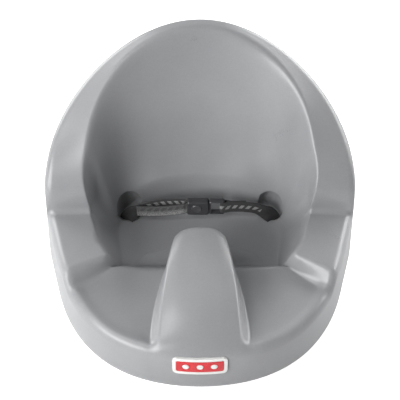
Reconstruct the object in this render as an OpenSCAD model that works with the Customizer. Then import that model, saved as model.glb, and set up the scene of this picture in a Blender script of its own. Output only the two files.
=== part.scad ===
// Moulded foam floor seat for a baby, with a two-part lap belt and a centre-press buckle.
// Front is -Y, the child faces -Y, the origin is on the floor under the middle of the seat.

/* [Foam seat] */
// Width across the hips of the seat
seat_w = 399; // [388:1:430]
// Depth from the front wall to the back wall
seat_d = 383; // [370:1:420]
// Height of the top of the back
back_z = 274; // [245:1:310]
// Height of the side shoulders, halfway up the back
shoulder_z = 199; // [180:1:215]
// Radius of the round front
front_r = 186.5; // [175:1:190]
// Swell of the front's corners outside that round
front_swell = 4; // [0:0.5:6]
// Distance from the widest section to the back wall
back_reach = 170; // [160:1:180]
// Rounding where the tapered sides meet the round back
hip_blend = 4; // [2:1:10]
// Radius of the edge round the underside
base_r = 10; // [6:1:14]
// Height that the outer edge of the rim rounds over
rim_fall = 14; // [8:1:18]
// Width that the outer edge of the rim rounds over
rim_round = 12; // [8:1:15]
// Width of the rim at the top of the back
rim_back_w = 25; // [20:1:32]

/* [Armrests and leg channels] */
// Height of the flat armrests
arm_z = 93; // [84:1:104]
// Width of the armrests
arm_w = 51; // [44:1:56]
// Distance from the widest section forward to the foot of the step behind each armrest
arm_back = 16; // [8:1:30]
// Radius of the hollow at the foot of that step
arm_step_r = 9; // [5:1:14]
// Height of the lip in front of each leg channel
lip_z = 68; // [60:1:76]
// Width of that lip
lip_w = 18; // [14:1:24]
// Depth of the channel floor behind the lip
lip_drop = 3; // [1:0.5:8]
// Distance from the widest section forward to the edge where a leg channel drops to the pan
shelf_reach = 64; // [56:1:72]

// Rise of the lip and the channel floor towards the armrest
lip_climb = 6; // [0:0.5:8]

/* [Seat pan and pommel] */
// Height of the seat pan
pan_z = 37; // [32:1:44]
// Half width of the seat pan
pan_half_w = 107; // [98:1:112]
// Distance from the widest section back to the rear edge of the pan
pan_back = 60; // [55:1:72]
// Height of the lumbar ridge behind the pan
lumbar_z = 82; // [74:1:92]
// Height of the pommel between the legs
pommel_z = 112; // [98:1:124]
// Width of the pommel at its rear end
pommel_w = 52; // [44:1:64]
// Distance from the widest section forward to the rear foot of the pommel
pommel_back = 28; // [22:1:36]
// Swell of each side of the pommel
pommel_swell = 5; // [0:1:8]
// Fall of the pommel's crown towards its sides
pommel_crown = 5; // [0:0.5:8]
// Height where the pommel leaves the front wall
pommel_nose_z = 55; // [40:1:60]

/* [Belt pockets] */
// Radius of the round pocket at each end of the belt
pocket_r = 20; // [17:0.5:22]
// Depth of that pocket below the pan
pocket_depth = 9; // [5:1:11]
// Distance of the pocket from the side of the pan
pocket_inset = 12; // [8:1:16]
// Distance of the pocket from the rear edge of the pan
pocket_ahead = 20; // [15:1:26]
// Distance from the middle of the pocket out to its belt slot
slot_out = 2; // [0:0.5:4]
// Distance from the middle of the pocket forward to its belt slot
slot_ahead = 12; // [9:0.5:13]
// Turn of the belt slot from straight across the seat, in degrees
slot_turn = 35; // [25:1:90]
// Width of the belt slot through the foam
slot_w = 4; // [3:0.5:6]

/* [Webbing] */
// Width of the webbing
webbing_w = 20; // [18:1:20]
// Thickness of the webbing
webbing_t = 1.2; // [0.8:0.1:1.4]
// Height of the belt above the pan
belt_rise = 21; // [16:1:30]
// Distance of the belt from the rear edge of the pan
belt_ahead = 26; // [22:1:34]
// Length of the free tail at the adjusting end
tail_l = 66; // [30:1:74]
// Length of the sewn return at the latch end
return_l = 20; // [12:1:30]

/* [Buckle] */
// Place of the seam between socket and latch, from the middle of the seat
seam_x = 11.5; // [-10:0.5:15]
// Length of the socket
socket_l = 28.5; // [28:0.5:36]
// Height of the buckle
buckle_h = 24; // [24:0.5:28]
// Thickness of the socket
buckle_t = 10.5; // [10.5:0.5:13]
// Wall of the socket shells
shell_wall = 1.5; // [1.2:0.1:1.6]
// Bevel round the outer faces of the buckle
buckle_bevel = 1; // [0.5:0.1:1.2]
// Diameter of the release button
button_d = 14.4; // [12:0.2:14.6]
// Height of the button above the socket face
button_proud = 0.8; // [0.5:0.1:1.2]
// Travel of the button
button_travel = 2.2; // [1.5:0.1:2.4]
// Distance from the seam to the middle of the button
button_in = 16.3; // [15:0.1:16.5]
// Length of the latch body outside the socket
latch_l = 21; // [20:0.5:26]
// Thickness of the latch body
latch_t = 8; // [7:0.5:9]
// Length of the latch prongs inside the socket
prong_l = 20; // [16:0.5:20.5]
// Thickness of the latch prongs
prong_t = 3; // [2:0.1:3.2]
// Height over both prongs
prong_h = 17; // [15:0.5:17.5]
// Open height between the prongs
prong_gap = 8.4; // [8:0.2:9]
// Radius of the fixed bar that holds the adjusting webbing
socket_bar_r = 1.1; // [0.9:0.1:1.2]
// Width of the bar at the end of the latch
latch_bar_w = 5; // [4:0.5:6]
// Thickness of that bar
latch_bar_t = 2.6; // [2:0.1:3]
// Outer diameter of the button spring
spring_d = 6; // [5:0.1:6.4]
// Wire of the button spring
spring_wire = 0.6; // [0.4:0.1:0.7]
// Turns of the button spring
spring_turns = 4; // [3:1:4]

/* [Strap retainers] */
// Width of each retainer plate, across the seat
retainer_w = 30; // [26:1:34]
// Length of each retainer plate, front to back
retainer_l = 42; // [36:1:46]
// Thickness of each retainer plate
retainer_t = 3; // [2:0.5:4]
// Radius of the bar that the strap folds round
retainer_bar_r = 2.7; // [2:0.1:3]
// Depth of the hollow in the underside for each retainer
hollow_depth = 16; // [15:0.5:19]

/* [Badge] */
// Width of the plain badge on the front wall
badge_w = 66; // [50:1:90]
// Height of the badge
badge_h = 27; // [22:1:32]
// Thickness of the badge
badge_t = 6; // [4:0.5:8]
// How far the badge stands out of the wall
badge_proud = 2.5; // [1.5:0.5:2.5]
// Height of the middle of the badge above the floor
badge_z = 50; // [46:1:55]
// Backward lean of the badge, in degrees
badge_lean = 5; // [2:1:12]
// Border of the badge round its panel
badge_border = 4.5; // [4:0.5:7]
// Diameter of the round bosses on the badge
boss_d = 8; // [5:0.5:10]

/* [Hidden] */
$fn = 64;

gap = 0.3;              // clearance between pieces that lie against each other
button_gap = 0.2;       // clearance round the button
wall_draft = 0.03;      // inward lean of the outer wall, mm per mm of height
badge_stand = badge_proud * cos(badge_lean) + badge_h / 2 * sin(badge_lean)
    - wall_draft * (badge_z - base_r);
front_y = (badge_stand - seat_d) / 2;   // the badge stands out in front of the wall
widest_y = front_y + seat_d - back_reach;
arc_y = front_y + front_r;

// ---- sums -----------------------------------------------------------------------------------
function mix(a, b, t) = a + (b - a) * t;
function clamp(t) = min(max(t, 0), 1);
function ease(t) = let (u = clamp(t)) u * u * u * (10 - 15 * u + 6 * u * u);
function smooth_min(a, b, k) = let (h = max(k - abs(a - b), 0) / k) min(a, b) - h * h * k / 4;
function smooth_max(a, b, k) = -smooth_min(-a, -b, k);
function dome(t) = sqrt(max(0, 1 - (1 - clamp(t)) ^ 2));
function steps(a, b, n) = [for (i = [0:n - 1]) mix(a, b, i / n)];
function quarter_steps(width, n) = [for (i = [0:n - 1]) width * (1 - cos(90 * i / n))];
function bezier(p, t) = (1 - t) ^ 3 * p[0] + 3 * t * (1 - t) ^ 2 * p[1]
    + 3 * t * t * (1 - t) * p[2] + t ^ 3 * p[3];
// The point of a curve that climbs along x, found by halving
function bezier_at(p, x, low = 0, high = 1, n = 24) = let (t = (low + high) / 2, q = bezier(p, t))
    n == 0 ? q : q.x < x ? bezier_at(p, x, t, high, n - 1) : bezier_at(p, x, low, t, n - 1);

// A smooth curve through one column of a table, whose first column climbs
function row_at(table, x, i = 0) =
    i >= len(table) - 2 || x < table[i + 1][0] ? i : row_at(table, x, i + 1);
function rise(table, c, i) = (table[i + 1][c] - table[i][c]) / (table[i + 1][0] - table[i][0]);
function tangent(table, c, i) =
    i <= 0 || i >= len(table) - 1 ? 0 : (rise(table, c, i - 1) + rise(table, c, i)) / 2;
function between(table, c, x) = let (
    i = row_at(table, x),
    span = table[i + 1][0] - table[i][0],
    t = clamp((x - table[i][0]) / span),
    a = tangent(table, c, i) * span,
    b = tangent(table, c, i + 1) * span)
    (2 * t ^ 3 - 3 * t ^ 2 + 1) * table[i][c] + (t ^ 3 - 2 * t ^ 2 + t) * a
    + (3 * t ^ 2 - 2 * t ^ 3) * table[i + 1][c] + (t ^ 3 - t ^ 2) * b;

// ---- plan outline of the seat ---------------------------------------------------------------
// An arc round the front, a straight taper up each side, and half an ellipse round the back.
// The angle is 0 at the front, 90 at the widest section and 180 at the back.
hip = [seat_w / 2, widest_y];
hip_reach = norm(hip - [0, arc_y]);
tapers = front_r < hip_reach;   // or else the round front runs straight into the sides
taper = tapers ? acos(front_r / hip_reach) - atan2(hip.y - arc_y, hip.x) : 0;
arc_turn = tapers ? 90 - taper : asin(hip.x / front_r);
arc_end = [front_r * sin(arc_turn), arc_y - front_r * cos(arc_turn)];
arc_end_angle = 68;

function side_x(y) = arc_end.x + (y - arc_end.y) * tan(taper);
function on_arc(angle) = let (
    turn = angle / arc_end_angle * arc_turn,
    r = front_r + front_swell * sin(180 * angle / arc_end_angle) ^ 2)
    [r * sin(turn), arc_y - r * cos(turn)];
function on_side(angle) = let (
    y = mix(arc_end.y, hip.y, (angle - arc_end_angle) / (90 - arc_end_angle)))
    [smooth_min(side_x(y), hip.x, hip_blend), y];
function on_back(angle) = let (y = hip.y - back_reach * cos(angle))
    [smooth_min(side_x(y), hip.x * sin(angle), hip_blend), y];
function outline(angle) =
    angle < arc_end_angle ? on_arc(angle) : angle < 90 ? on_side(angle) : on_back(angle);
function angle_at(y) = y < hip.y
    ? mix(arc_end_angle, 90, (y - arc_end.y) / (hip.y - arc_end.y))
    : acos((hip.y - y) / back_reach);

// ---- stations round the seat ----------------------------------------------------------------
// Each row: outline angle, width of the rim, then the edge of the pan, across and back from the
// widest section.
stations = [
    [0, lip_w, 0, -pommel_back],
    [9, lip_w, 0.36 * pommel_w, -pommel_back - 2],
    [14, lip_w, 0.55 * pommel_w, -pommel_back - 10],
    [18, lip_w, 0.7 * pommel_w, -pommel_back - 18],
    [26, lip_w, 0.92 * pommel_w, -pommel_back - 20],
    [42, lip_w, pan_half_w - 41, -33],
    [58, arm_w + 15, pan_half_w - 13, -shelf_reach - 2],
    [72, arm_w + 12, pan_half_w - 7, -37],
    [90, arm_w + 6, pan_half_w - 2, 0],
    [112, arm_w - 1, pan_half_w - 4, pan_back - 35],
    [132, mix(arm_w, rim_back_w, 0.42), pan_half_w - 19, pan_back - 18],
    [154, rim_back_w + 5, pan_half_w - 57, pan_back - 6],
    [180, rim_back_w, 0, pan_back]
];

arm_front_angle = 56.8;   // the step in front of each armrest
arm_front_half = 3.7;   // half the angle that it takes
pommel_side_angle = 16;
pommel_side_half = 3.6;

// ---- height of the rim ----------------------------------------------------------------------
// From the foot of the step behind each armrest up to the shoulder, and on to the top of the back
step_foot_y = widest_y - arm_back;
step_turn = 80;         // how far the hollow at the foot turns, in degrees
step_face = [
    [step_foot_y + arm_step_r, arm_z + arm_step_r * (1 - cos(step_turn))],
    [widest_y - 6, mix(arm_z, shoulder_z, 0.46)],
    [widest_y + 32, mix(arm_z, shoulder_z, 0.66)],
    [widest_y + 84, shoulder_z]
];
back_rail = [
    step_face[3],
    [widest_y + 115, mix(shoulder_z, back_z, 0.29)],
    [widest_y + 148, mix(shoulder_z, back_z, 0.65)],
    [widest_y + back_reach, back_z]
];

// Each column: outline angle, height of the rim, and whether the front of the seat blends in
columns = concat(
    [for (a = steps(0, 11, 3)) [a, arm_z, true]],
    [for (a = steps(11, 21, 11)) [a, arm_z, true]],
    [for (a = steps(21, 55, 8)) [a, arm_z, true]],
    [for (a = steps(55, 60, 8)) [a, arm_z, true]],
    [for (a = steps(60, arc_end_angle, 3)) [a, arm_z, true]],
    [for (a = steps(arc_end_angle, angle_at(step_foot_y), 2)) [a, arm_z, false]],
    [for (turn = steps(0, step_turn, 4))
        [angle_at(step_foot_y + arm_step_r * sin(turn)), arm_z + arm_step_r * (1 - cos(turn)), false]],
    [for (t = steps(0, 1, 9)) let (p = bezier(step_face, t)) [angle_at(p.x), p.y, false]],
    [for (a = steps(angle_at(back_rail[0].x), 180, 11))
        [a, bezier_at(back_rail, outline(a).y).y, false]],
    [[180, back_z, false]]
);

// ---- height of the foam along one column ----------------------------------------------------
// w runs inwards from the outer wall, reach is the whole way to the edge of the pan.
lip_fall_start = 7;     // where the back of the lip starts to fall
lip_fall = 20;          // the width that it falls over
shelf_run = 28;         // the width over which the edge of a leg channel drops to the pan
pommel_back_run = 22;   // the width of the pommel's rear face
foot_rise = 2;          // rise of the pan's edge above its middle
rim_blend = 14;
foot_blend = 16;
pan_edge_z = pan_z + foot_rise + foot_blend / 4;
knee_up = 46;           // from the lumbar ridge to the knee above it
knee_in = 27;
ridge_in = 5;           // from the edge of the pan to the lumbar ridge
ridge_fall = 9;         // steepness below the ridge, mm per mm
ridge_blend = 18;

function rim_edge(h, w) = h - rim_fall + rim_fall * dome(w / rim_round);
function lip_height(w, brink, top) = let (
    edge = rim_edge(top, w),
    shelf = mix(edge, min(edge, top - lip_drop), ease((w - lip_fall_start) / lip_fall)))
    mix(shelf, pan_edge_z, ease((w - brink) / shelf_run));
function pommel_height(w, reach, angle) = let (
    crown = pommel_crown * (angle / pommel_side_angle) ^ 2 * ease(w / 60),
    crest = mix(pommel_nose_z, pommel_z, dome(w / (reach - pommel_back_run))) - crown)
    mix(crest, pan_edge_z, ease((w - reach + pommel_back_run) / pommel_back_run));
function line_height(w, a, b) = mix(a.y, b.y, (w - a.x) / (b.x - a.x));
function bucket_height(w, reach, h, rim_w, lumbar) = let (
    foot_z = pan_z + foot_rise,
    plain = smooth_min(h, line_height(w, [rim_w, h], [reach, foot_z]), rim_blend),
    ridge = [reach - ridge_in, lumbar_z],
    knee = [ridge.x - knee_in, lumbar_z + knee_up],
    upper = h > knee.y + 20 ? line_height(w, [rim_w, h], knee) : -1000,
    lower = line_height(w, knee, ridge),
    below = ridge.y - (w - ridge.x) * ridge_fall,
    above = smooth_min(h, smooth_max(upper, lower, rim_blend), rim_blend),
    curved = smooth_min(above, below, ridge_blend))
    w < rim_round ? rim_edge(h, w) : smooth_max(mix(plain, curved, lumbar), foot_z, foot_blend);

// One ring of points, from the underside up the wall, over the rim and down to the pan
fillet_n = 4;
wall_n = 4;
pan_n = 4;
skirt = 3;              // the form runs on below the floor, and the floor plane cuts it off
function sample_widths(a, b, reach) = concat(
    quarter_steps(rim_round, 6), steps(rim_round, a, 3), steps(a, b, 10), steps(b, reach, 6), [reach]);
function foam_ring(column) = let (
    angle = column[0],
    h = column[1],
    rim_w = between(stations, 1, angle),
    outer = outline(angle),
    inner = [between(stations, 2, angle), widest_y + between(stations, 3, angle)],
    reach = norm(outer - inner),
    shelf_y = widest_y - shelf_reach - shelf_run / 2,
    lip_top = lip_z + lip_climb * ease((angle - 24) / 30),
    brink = min(reach * (shelf_y - outer.y) / max(inner.y - outer.y, 1), reach - shelf_run),
    bucket = column[2] ? ease((angle - arm_front_angle + arm_front_half) / (2 * arm_front_half)) : 1,
    pommel = 1 - ease((angle - pommel_side_angle + pommel_side_half) / (2 * pommel_side_half)),
    lumbar = ease((angle - 118) / 40),
    pan_flat = ease((angle - 60) / 30),
    swell = 4 * pommel_swell * ease(angle / 10) * (1 - ease((angle - 24) / 26)),
    front_w = sample_widths(20, reach - 19, reach),
    back_w = sample_widths(rim_w - 8, reach - 12, reach),
    w = mix(front_w, back_w, column[2] ? ease((angle - 50) / 22) : 1),
    z = [for (v = w) mix(
        mix(lip_height(v, brink, lip_top), pommel_height(v, reach, angle), pommel),
        bucket_height(v, reach, h, rim_w, lumbar),
        bucket)],
    lean = wall_draft * (z[0] - base_r))
    concat(
        [foam_point(outer, inner, base_r / reach, swell, -skirt)],
        [for (i = [0:fillet_n]) let (turn = 90 * i / fillet_n)
            foam_point(outer, inner, base_r * (1 - sin(turn)) / reach, swell,
                base_r * (1 - cos(turn)))],
        [for (i = [1:wall_n - 1]) let (up = (z[0] - base_r) * i / wall_n)
            foam_point(outer, inner, wall_draft * up / reach, swell, base_r + up)],
        [for (i = [0:len(w) - 1])
            foam_point(outer, inner, (w[i] + lean * (1 - w[i] / reach)) / reach, swell, z[i])],
        [for (i = [1:pan_n - 1]) let (t = i / pan_n)
            [mix(inner.x, 0, t), mix(inner.y, widest_y, t),
                mix(z[len(z) - 1], pan_z, 1 - (1 - t) ^ (2 + pan_flat))]]);
function foam_point(outer, inner, t, swell, z) =
    [mix(outer.x, inner.x, t) + swell * t * (1 - t), mix(outer.y, inner.y, t), z];

module foam_form() {
    half = [for (c = columns) foam_ring(c)];
    rings = concat(half, [for (i = [len(half) - 2:-1:1]) [for (p = half[i]) [-p.x, p.y, p.z]]]);
    n = len(rings);
    m = len(rings[0]);
    faces = [for (i = [0:n - 1]) let (j = (i + 1) % n) each concat(
        [for (k = [0:m - 2]) each [
            [i * m + k, i * m + k + 1, j * m + k + 1],
            [i * m + k, j * m + k + 1, j * m + k]]],
        [[i * m + m - 1, n * m, j * m + m - 1], [j * m, n * m + 1, i * m]])];
    polyhedron(
        concat([for (r = rings) each r], [[0, widest_y, pan_z], [0, widest_y, -skirt]]),
        faces,
        convexity = 8);
}

// ---- places that the foam, the straps and the retainers share -------------------------------
pocket = [pan_half_w - pocket_inset, widest_y + pan_back - pocket_ahead];
slot = pocket + [slot_out, -slot_ahead];
slot_l = webbing_w + 3;
slot_axis = [cos(slot_turn), sin(slot_turn), 0];    // along the right slot, outwards and back
slot_side = [sin(slot_turn), -cos(slot_turn), 0];   // across it, outwards and forwards
pocket_floor_z = pan_z - pocket_depth;
belt_y = widest_y + pan_back - belt_ahead;
belt_z = pan_z + belt_rise;
fold_r = retainer_bar_r + gap + webbing_t / 2;
tuck_z = hollow_depth - gap - webbing_t / 2;
plate_top_z = tuck_z - webbing_t / 2 - gap;
bar_z = plate_top_z - retainer_t / 2;

// Local x runs across the right slot and local y along it; the left one is its mirror image
module at_slot(side) {
    mirror([side < 0 ? 1 : 0, 0, 0])
        translate([slot.x, slot.y, 0])
            rotate([0, 0, slot_turn - 90])
                children();
}

module rounded(size, r) {
    square([size.x - 2 * r, size.y], center = true);
    square([size.x, size.y - 2 * r], center = true);
    for (x = [-1, 1])
        for (y = [-1, 1])
            translate([x * (size.x / 2 - r), y * (size.y / 2 - r)])
                circle(r);
}

module foam_body() {
    color([0.62, 0.63, 0.64])
    difference() {
        foam_form();
        translate([0, 0, -10])
            cube([2 * seat_w, 2 * seat_d, 20], center = true);
        for (side = [-1, 1]) {
            translate([side * pocket.x, pocket.y, pocket_floor_z + pocket_r])
                sphere(r = pocket_r);
            at_slot(side) {
                translate([0, 0, -1])
                    linear_extrude(pan_z + 8)
                        square([slot_w, slot_l], center = true);
                translate([-fold_r, 0, -1])
                    linear_extrude(hollow_depth + 1)
                        rounded([retainer_w + 4, retainer_l + 4], 5);
            }
        }
        badge_place()
            badge_curve(badge_proud - badge_t - gap, badge_proud + 10)
                rounded([badge_w + 2 * gap, badge_h + 2 * gap], badge_corner + gap);
    }
}

// ---- webbing --------------------------------------------------------------------------------
// A flat strap along a path. Each row is a place and the direction of the strap's upper edge.
function unit(v) = v / norm(v);
function along(path, i) =
    unit(path[min(i + 1, len(path) - 1)] - path[max(i - 1, 0)]);
function across(v, t) = unit(v - (v * t) * t);
function strap_ring(path, i) = let (
    p = path[i][0],
    t = along([for (q = path) q[0]], i),
    u = across(path[i][1], t) * webbing_w / 2,
    v = cross(t, unit(u)) * webbing_t / 2)
    [p - u - v, p + u - v, p + u + v, p - u + v];

module strap(path) {
    n = len(path);
    polyhedron(
        [for (i = [0:n - 1]) each strap_ring(path, i)],
        concat(
            [[0, 1, 2], [0, 2, 3]],
            [for (i = [0:n - 2]) for (k = [0:3]) let (a = 4 * i + k, b = 4 * i + (k + 1) % 4)
                each [[a, a + 4, b + 4], [a, b + 4, b]]],
            [[4 * n - 2, 4 * n - 3, 4 * n - 4], [4 * n - 1, 4 * n - 2, 4 * n - 4]]));
}

// The lower route, for the right side: tucked over the retainer, round its bar and up the slot
tuck_r = 1.2;
tuck_in = 2 * fold_r;
tuck_l = 12;
exit_z = pan_z + 4;     // where the strap starts to lean over
function at_right_slot(x, z) = [[slot.x, slot.y, z] + x * slot_side, slot_axis];
lower_route = concat(
    [at_right_slot(-tuck_in - tuck_l, tuck_z)],
    [for (turn = [90:-30:0])
        at_right_slot(-tuck_in - tuck_r + tuck_r * cos(turn), tuck_z - tuck_r + tuck_r * sin(turn))],
    [for (turn = [180:30:360])
        at_right_slot(-fold_r + fold_r * cos(turn), bar_z + fold_r * sin(turn))],
    [at_right_slot(0, pocket_floor_z - 8)]);

// The stretch from the slot up to the belt line, where the strap turns onto its edge
turn_run = 25;          // how far it leans in over that stretch
belt_start = [slot.x - turn_run, belt_y - 2, belt_z - 1];
slot_exit = [slot.x, slot.y, exit_z];
turn_curve = [slot_exit, slot_exit + [-3, 1, 7], belt_start + [12, -1, -5], belt_start];
turn_n = 14;
turn_route = [for (i = [0:turn_n])
    [bezier(turn_curve, i / turn_n), mix(slot_axis, [0, 0, 1], ease(i / turn_n))]];

// Points of the folds at the buckle, from the seam, with the belt plane at zero
function at_buckle(p) = [[seam_x + p.x, belt_y + p.y, belt_z + p.z], [0, 0, 1]];
layer = webbing_t / 2 + 0.1;
latch_bar_x = latch_l - latch_bar_w + latch_bar_t / 2;
latch_fold_r = latch_bar_t / 2 + gap + 0.05 + webbing_t / 2;
latch_side = [[latch_l + 8, layer], [latch_l + 4, latch_fold_r * 0.8], [latch_l + 1, latch_fold_r]];
latch_route = concat(
    [[latch_l + 22, -layer, 0]],
    [for (p = latch_side) [p.x, -p.y, 0]],
    [for (turn = [270:-30:90])
        [latch_bar_x + latch_fold_r * cos(turn), latch_fold_r * sin(turn), 0]],
    [for (i = [2:-1:0]) [latch_side[i].x, latch_side[i].y, 0]],
    [[latch_l + 8 + return_l, layer, 0]]);

socket_bar_x = 1.5 - socket_l;
socket_fold_r = socket_bar_r + 0.25 + webbing_t / 2;
tail_out = 7;
tail_end = [-socket_l - tail_l, -tail_out + 1, -2];
tail_curve = [
    [-socket_l - 4, -tail_out + 3, 0], [-socket_l - 20, -tail_out - 1, 0],
    [-socket_l - tail_l + 20, -tail_out - 2, -1.5], tail_end];
tail_n = 6;
behind = [[36, 2.5], [18, 4], [6, 4], [1, socket_fold_r + 0.6]];    // out from the socket and back
socket_route = concat(
    [for (p = behind) [-socket_l - p[0], p[1], 0]],
    [for (turn = [90:-30:-90])
        [socket_bar_x + socket_fold_r * cos(turn), socket_fold_r * sin(turn), 0]],
    [[-socket_l - 1, -socket_fold_r - 0.5, 0]],
    [for (i = [0:tail_n]) bezier(tail_curve, i / tail_n)]);

function mirrored(path) = [for (p = path) [for (v = p) [-v.x, v.y, v.z]]];

module strap_left() {
    color([0.16, 0.16, 0.17])
    strap(concat(
        mirrored(lower_route), mirrored(turn_route), [for (p = socket_route) at_buckle(p)]));
}

module strap_right() {
    color([0.16, 0.16, 0.17])
    strap(concat(lower_route, turn_route, [for (p = latch_route) at_buckle(p)]));
}

// ---- strap retainers ------------------------------------------------------------------------
window_w = 2 * (fold_r + webbing_t / 2 + 0.4);
pad_l = (retainer_l - webbing_w) / 2 - 2;

module retainer(side) {
    at_slot(side)
    translate([-fold_r, 0, 0]) {
        difference() {
            union() {
                translate([0, 0, plate_top_z - retainer_t])
                    linear_extrude(retainer_t)
                        rounded([retainer_w, retainer_l], 3);
                for (end = [-1, 1])
                    translate([0, end * (retainer_l - pad_l) / 2, plate_top_z - retainer_t])
                        linear_extrude(hollow_depth - gap - plate_top_z + retainer_t)
                            rounded([retainer_w - 4, pad_l], 1.5);
            }
            translate([0, 0, -1])
                linear_extrude(hollow_depth + 2)
                    rounded([window_w, webbing_w + 2], 1);
        }
        translate([0, 0, bar_z])
            rotate([90, 0, 0])
                cylinder(r = retainer_bar_r, h = webbing_w + 3, center = true);
    }
}

module retainer_left() {
    color([0.2, 0.2, 0.21])
    retainer(-1);
}

module retainer_right() {
    color([0.2, 0.2, 0.21])
    retainer(1);
}

// ---- buckle ---------------------------------------------------------------------------------
// In the buckle's own frame x runs from the seam, y goes through its thickness from the front
// face to the back, and z is its height.
corner_r = 3;
half_t = buckle_t / 2;
inside_t = half_t - shell_wall;
prong_front = 0.5;
channel_front = prong_front - gap;
channel_h = prong_h + 2 * gap;
bay_end = socket_bar_x + socket_fold_r + webbing_t / 2 + gap - 0.05;
bay_h = webbing_w + 1;
bay_t = 2 * (socket_fold_r + webbing_t / 2 + gap + 0.5);
parting = 0.1;          // the seam line between the two shells
flange_d = button_d + 1.2;
flange_t = 1;
flange_front = -inside_t + gap;

module at_seam() {
    translate([seam_x, belt_y, belt_z])
        children();
}

// A plate that stands in the belt plane, from one y to another
module upright(y0, y1) {
    translate([0, y1, 0])
        rotate([90, 0, 0])
            linear_extrude(y1 - y0)
                children();
}

// One half of a bevelled housing, from the belt plane to its outer face
module housing_half(x0, x1, height, thickness) {
    centre = (x0 + x1) / 2;
    size = [x1 - x0, height];
    hull() {
        upright(-thickness + buckle_bevel, 0)
            translate([centre, 0])
                rounded(size, corner_r);
        upright(-thickness, -thickness + 0.01)
            translate([centre, 0])
                rounded(size - 2 * [buckle_bevel, buckle_bevel], corner_r - buckle_bevel);
    }
}

module block(low, high) {
    translate(low)
        cube(high - low);
}

// What both shells leave free: the seam line, the webbing bay, the latch channel and the button well
module socket_inside() {
    block([-socket_l - 1, -parting / 2, -buckle_h], [1, parting / 2, buckle_h]);
    block([-socket_l - 1, -bay_t / 2, -bay_h / 2], [bay_end, bay_t / 2, bay_h / 2]);
    block([-prong_l - 1.5, channel_front, -channel_h / 2], [1, inside_t, channel_h / 2]);
    translate([-button_in, -inside_t, 0])
        rotate([-90, 0, 0])
            cylinder(d = flange_d + 0.6, h = inside_t + channel_front + 0.5);
}

module buckle_front_shell() {
    color([0.15, 0.15, 0.16])
    at_seam()
        difference() {
            housing_half(-socket_l, 0, buckle_h, half_t);
            socket_inside();
            translate([-button_in, -half_t - 1, 0])
                rotate([-90, 0, 0])
                    cylinder(d = button_d + 2 * button_gap, h = half_t);
            translate([socket_bar_x, 0, 0])
                cylinder(r = socket_bar_r + parting, h = bay_h + 2, center = true);
        }
}

module buckle_back_shell() {
    color([0.15, 0.15, 0.16])
    at_seam() {
        difference() {
            mirror([0, 1, 0])
                housing_half(-socket_l, 0, buckle_h, half_t);
            socket_inside();
        }
        translate([socket_bar_x, 0, 0])
            cylinder(r = socket_bar_r, h = bay_h + 1.6, center = true);
        translate([-button_in, inside_t, 0])
            rotate([90, 0, 0])
                cylinder(d = spring_d - 2 * spring_wire - 0.4, h = 1.2);
    }
}

module release_button() {
    dish_r = 30;
    cap_front = -half_t - button_proud;
    color([0.2, 0.2, 0.21])
    at_seam()
        translate([-button_in, 0, 0])
            rotate([-90, 0, 0]) {
                difference() {
                    translate([0, 0, cap_front])
                        rotate_extrude()
                            polygon([
                                [0, 0], [button_d / 2 - 0.6, 0], [button_d / 2, 0.6],
                                [button_d / 2, flange_front - cap_front], [0, flange_front - cap_front]]);
                    translate([0, 0, cap_front - dish_r + 0.5])
                        sphere(r = dish_r);
                }
                translate([0, 0, flange_front])
                    cylinder(d = flange_d, h = flange_t);
                translate([0, 0, flange_front])
                    cylinder(d = spring_d - 2 * spring_wire - 0.4, h = flange_t + 1.6);
            }
}

// The spring is one tube of six sides, wound from the button's flange to the back shell
spring_rings = 10;
spring_start = flange_front + flange_t + spring_wire / 2;
spring_end = inside_t - spring_wire / 2;
function spring_point(i) = let (turn = 360 * i / spring_rings, r = (spring_d - spring_wire) / 2)
    [r * cos(turn), mix(spring_start, spring_end, i / (spring_rings * spring_turns)), r * sin(turn)];
spring_path = [for (i = [0:spring_rings * spring_turns]) spring_point(i)];
function wire_ring(path, i) = let (
    t = along(path, i),
    u = unit([path[i].x, 0, path[i].z]),
    v = cross(t, u))
    [for (k = [0:5]) path[i] + spring_wire / 2 * (cos(60 * k) * u + sin(60 * k) * v)];
spring_gap = min([for (i = [0:len(spring_path) - spring_rings - 1])
    norm(spring_path[i + spring_rings] - spring_path[i]) - spring_wire]);
echo(least_gap_between_spring_turns = spring_gap);

module button_spring() {
    n = len(spring_path);
    color([0.75, 0.76, 0.78])
    at_seam()
        translate([-button_in, 0, 0])
            polyhedron(
                [for (i = [0:n - 1]) each wire_ring(spring_path, i)],
                concat(
                    [for (k = [1:4]) [0, k, k + 1]],
                    [for (i = [0:n - 2]) for (k = [0:5]) let (a = 6 * i + k, b = 6 * i + (k + 1) % 6)
                        each [[a, a + 6, b + 6], [a, b + 6, b]]],
                    [for (k = [1:4]) [6 * n - 6, 6 * n - 6 + k + 1, 6 * n - 6 + k]]));
}

module buckle_latch() {
    shoulder = 3.2;
    rail = (buckle_h - webbing_w - 1) / 2;
    color([0.15, 0.15, 0.16])
    at_seam() {
        difference() {
            union() {
                housing_half(gap, latch_l, buckle_h, latch_t / 2);
                mirror([0, 1, 0])
                    housing_half(gap, latch_l, buckle_h, latch_t / 2);
            }
            block([shoulder, -latch_t, rail - buckle_h / 2], [latch_l + 1, latch_t, buckle_h / 2 - rail]);
        }
        hull()
            for (x = [latch_l - latch_bar_w + latch_bar_t / 2, latch_l - latch_bar_t / 2])
                translate([x, 0, 0])
                    cylinder(d = latch_bar_t, h = buckle_h - 2 * rail + 0.5, center = true, $fn = 32);
        difference() {
            upright(prong_front, prong_front + prong_t)
                translate([(gap - prong_l) / 2 + 0.5, 0])
                    rounded([prong_l + gap + 1, prong_h], 1.5);
            block([-prong_l - 1, -1, -prong_gap / 2], [-2, half_t, prong_gap / 2]);
            for (side = [-1, 1])
                translate([-11, prong_front - 1, side * prong_gap / 2])
                    rotate([-90, 0, 0])
                        cylinder(d = 3, h = prong_t + 2);
        }
    }
}

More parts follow.
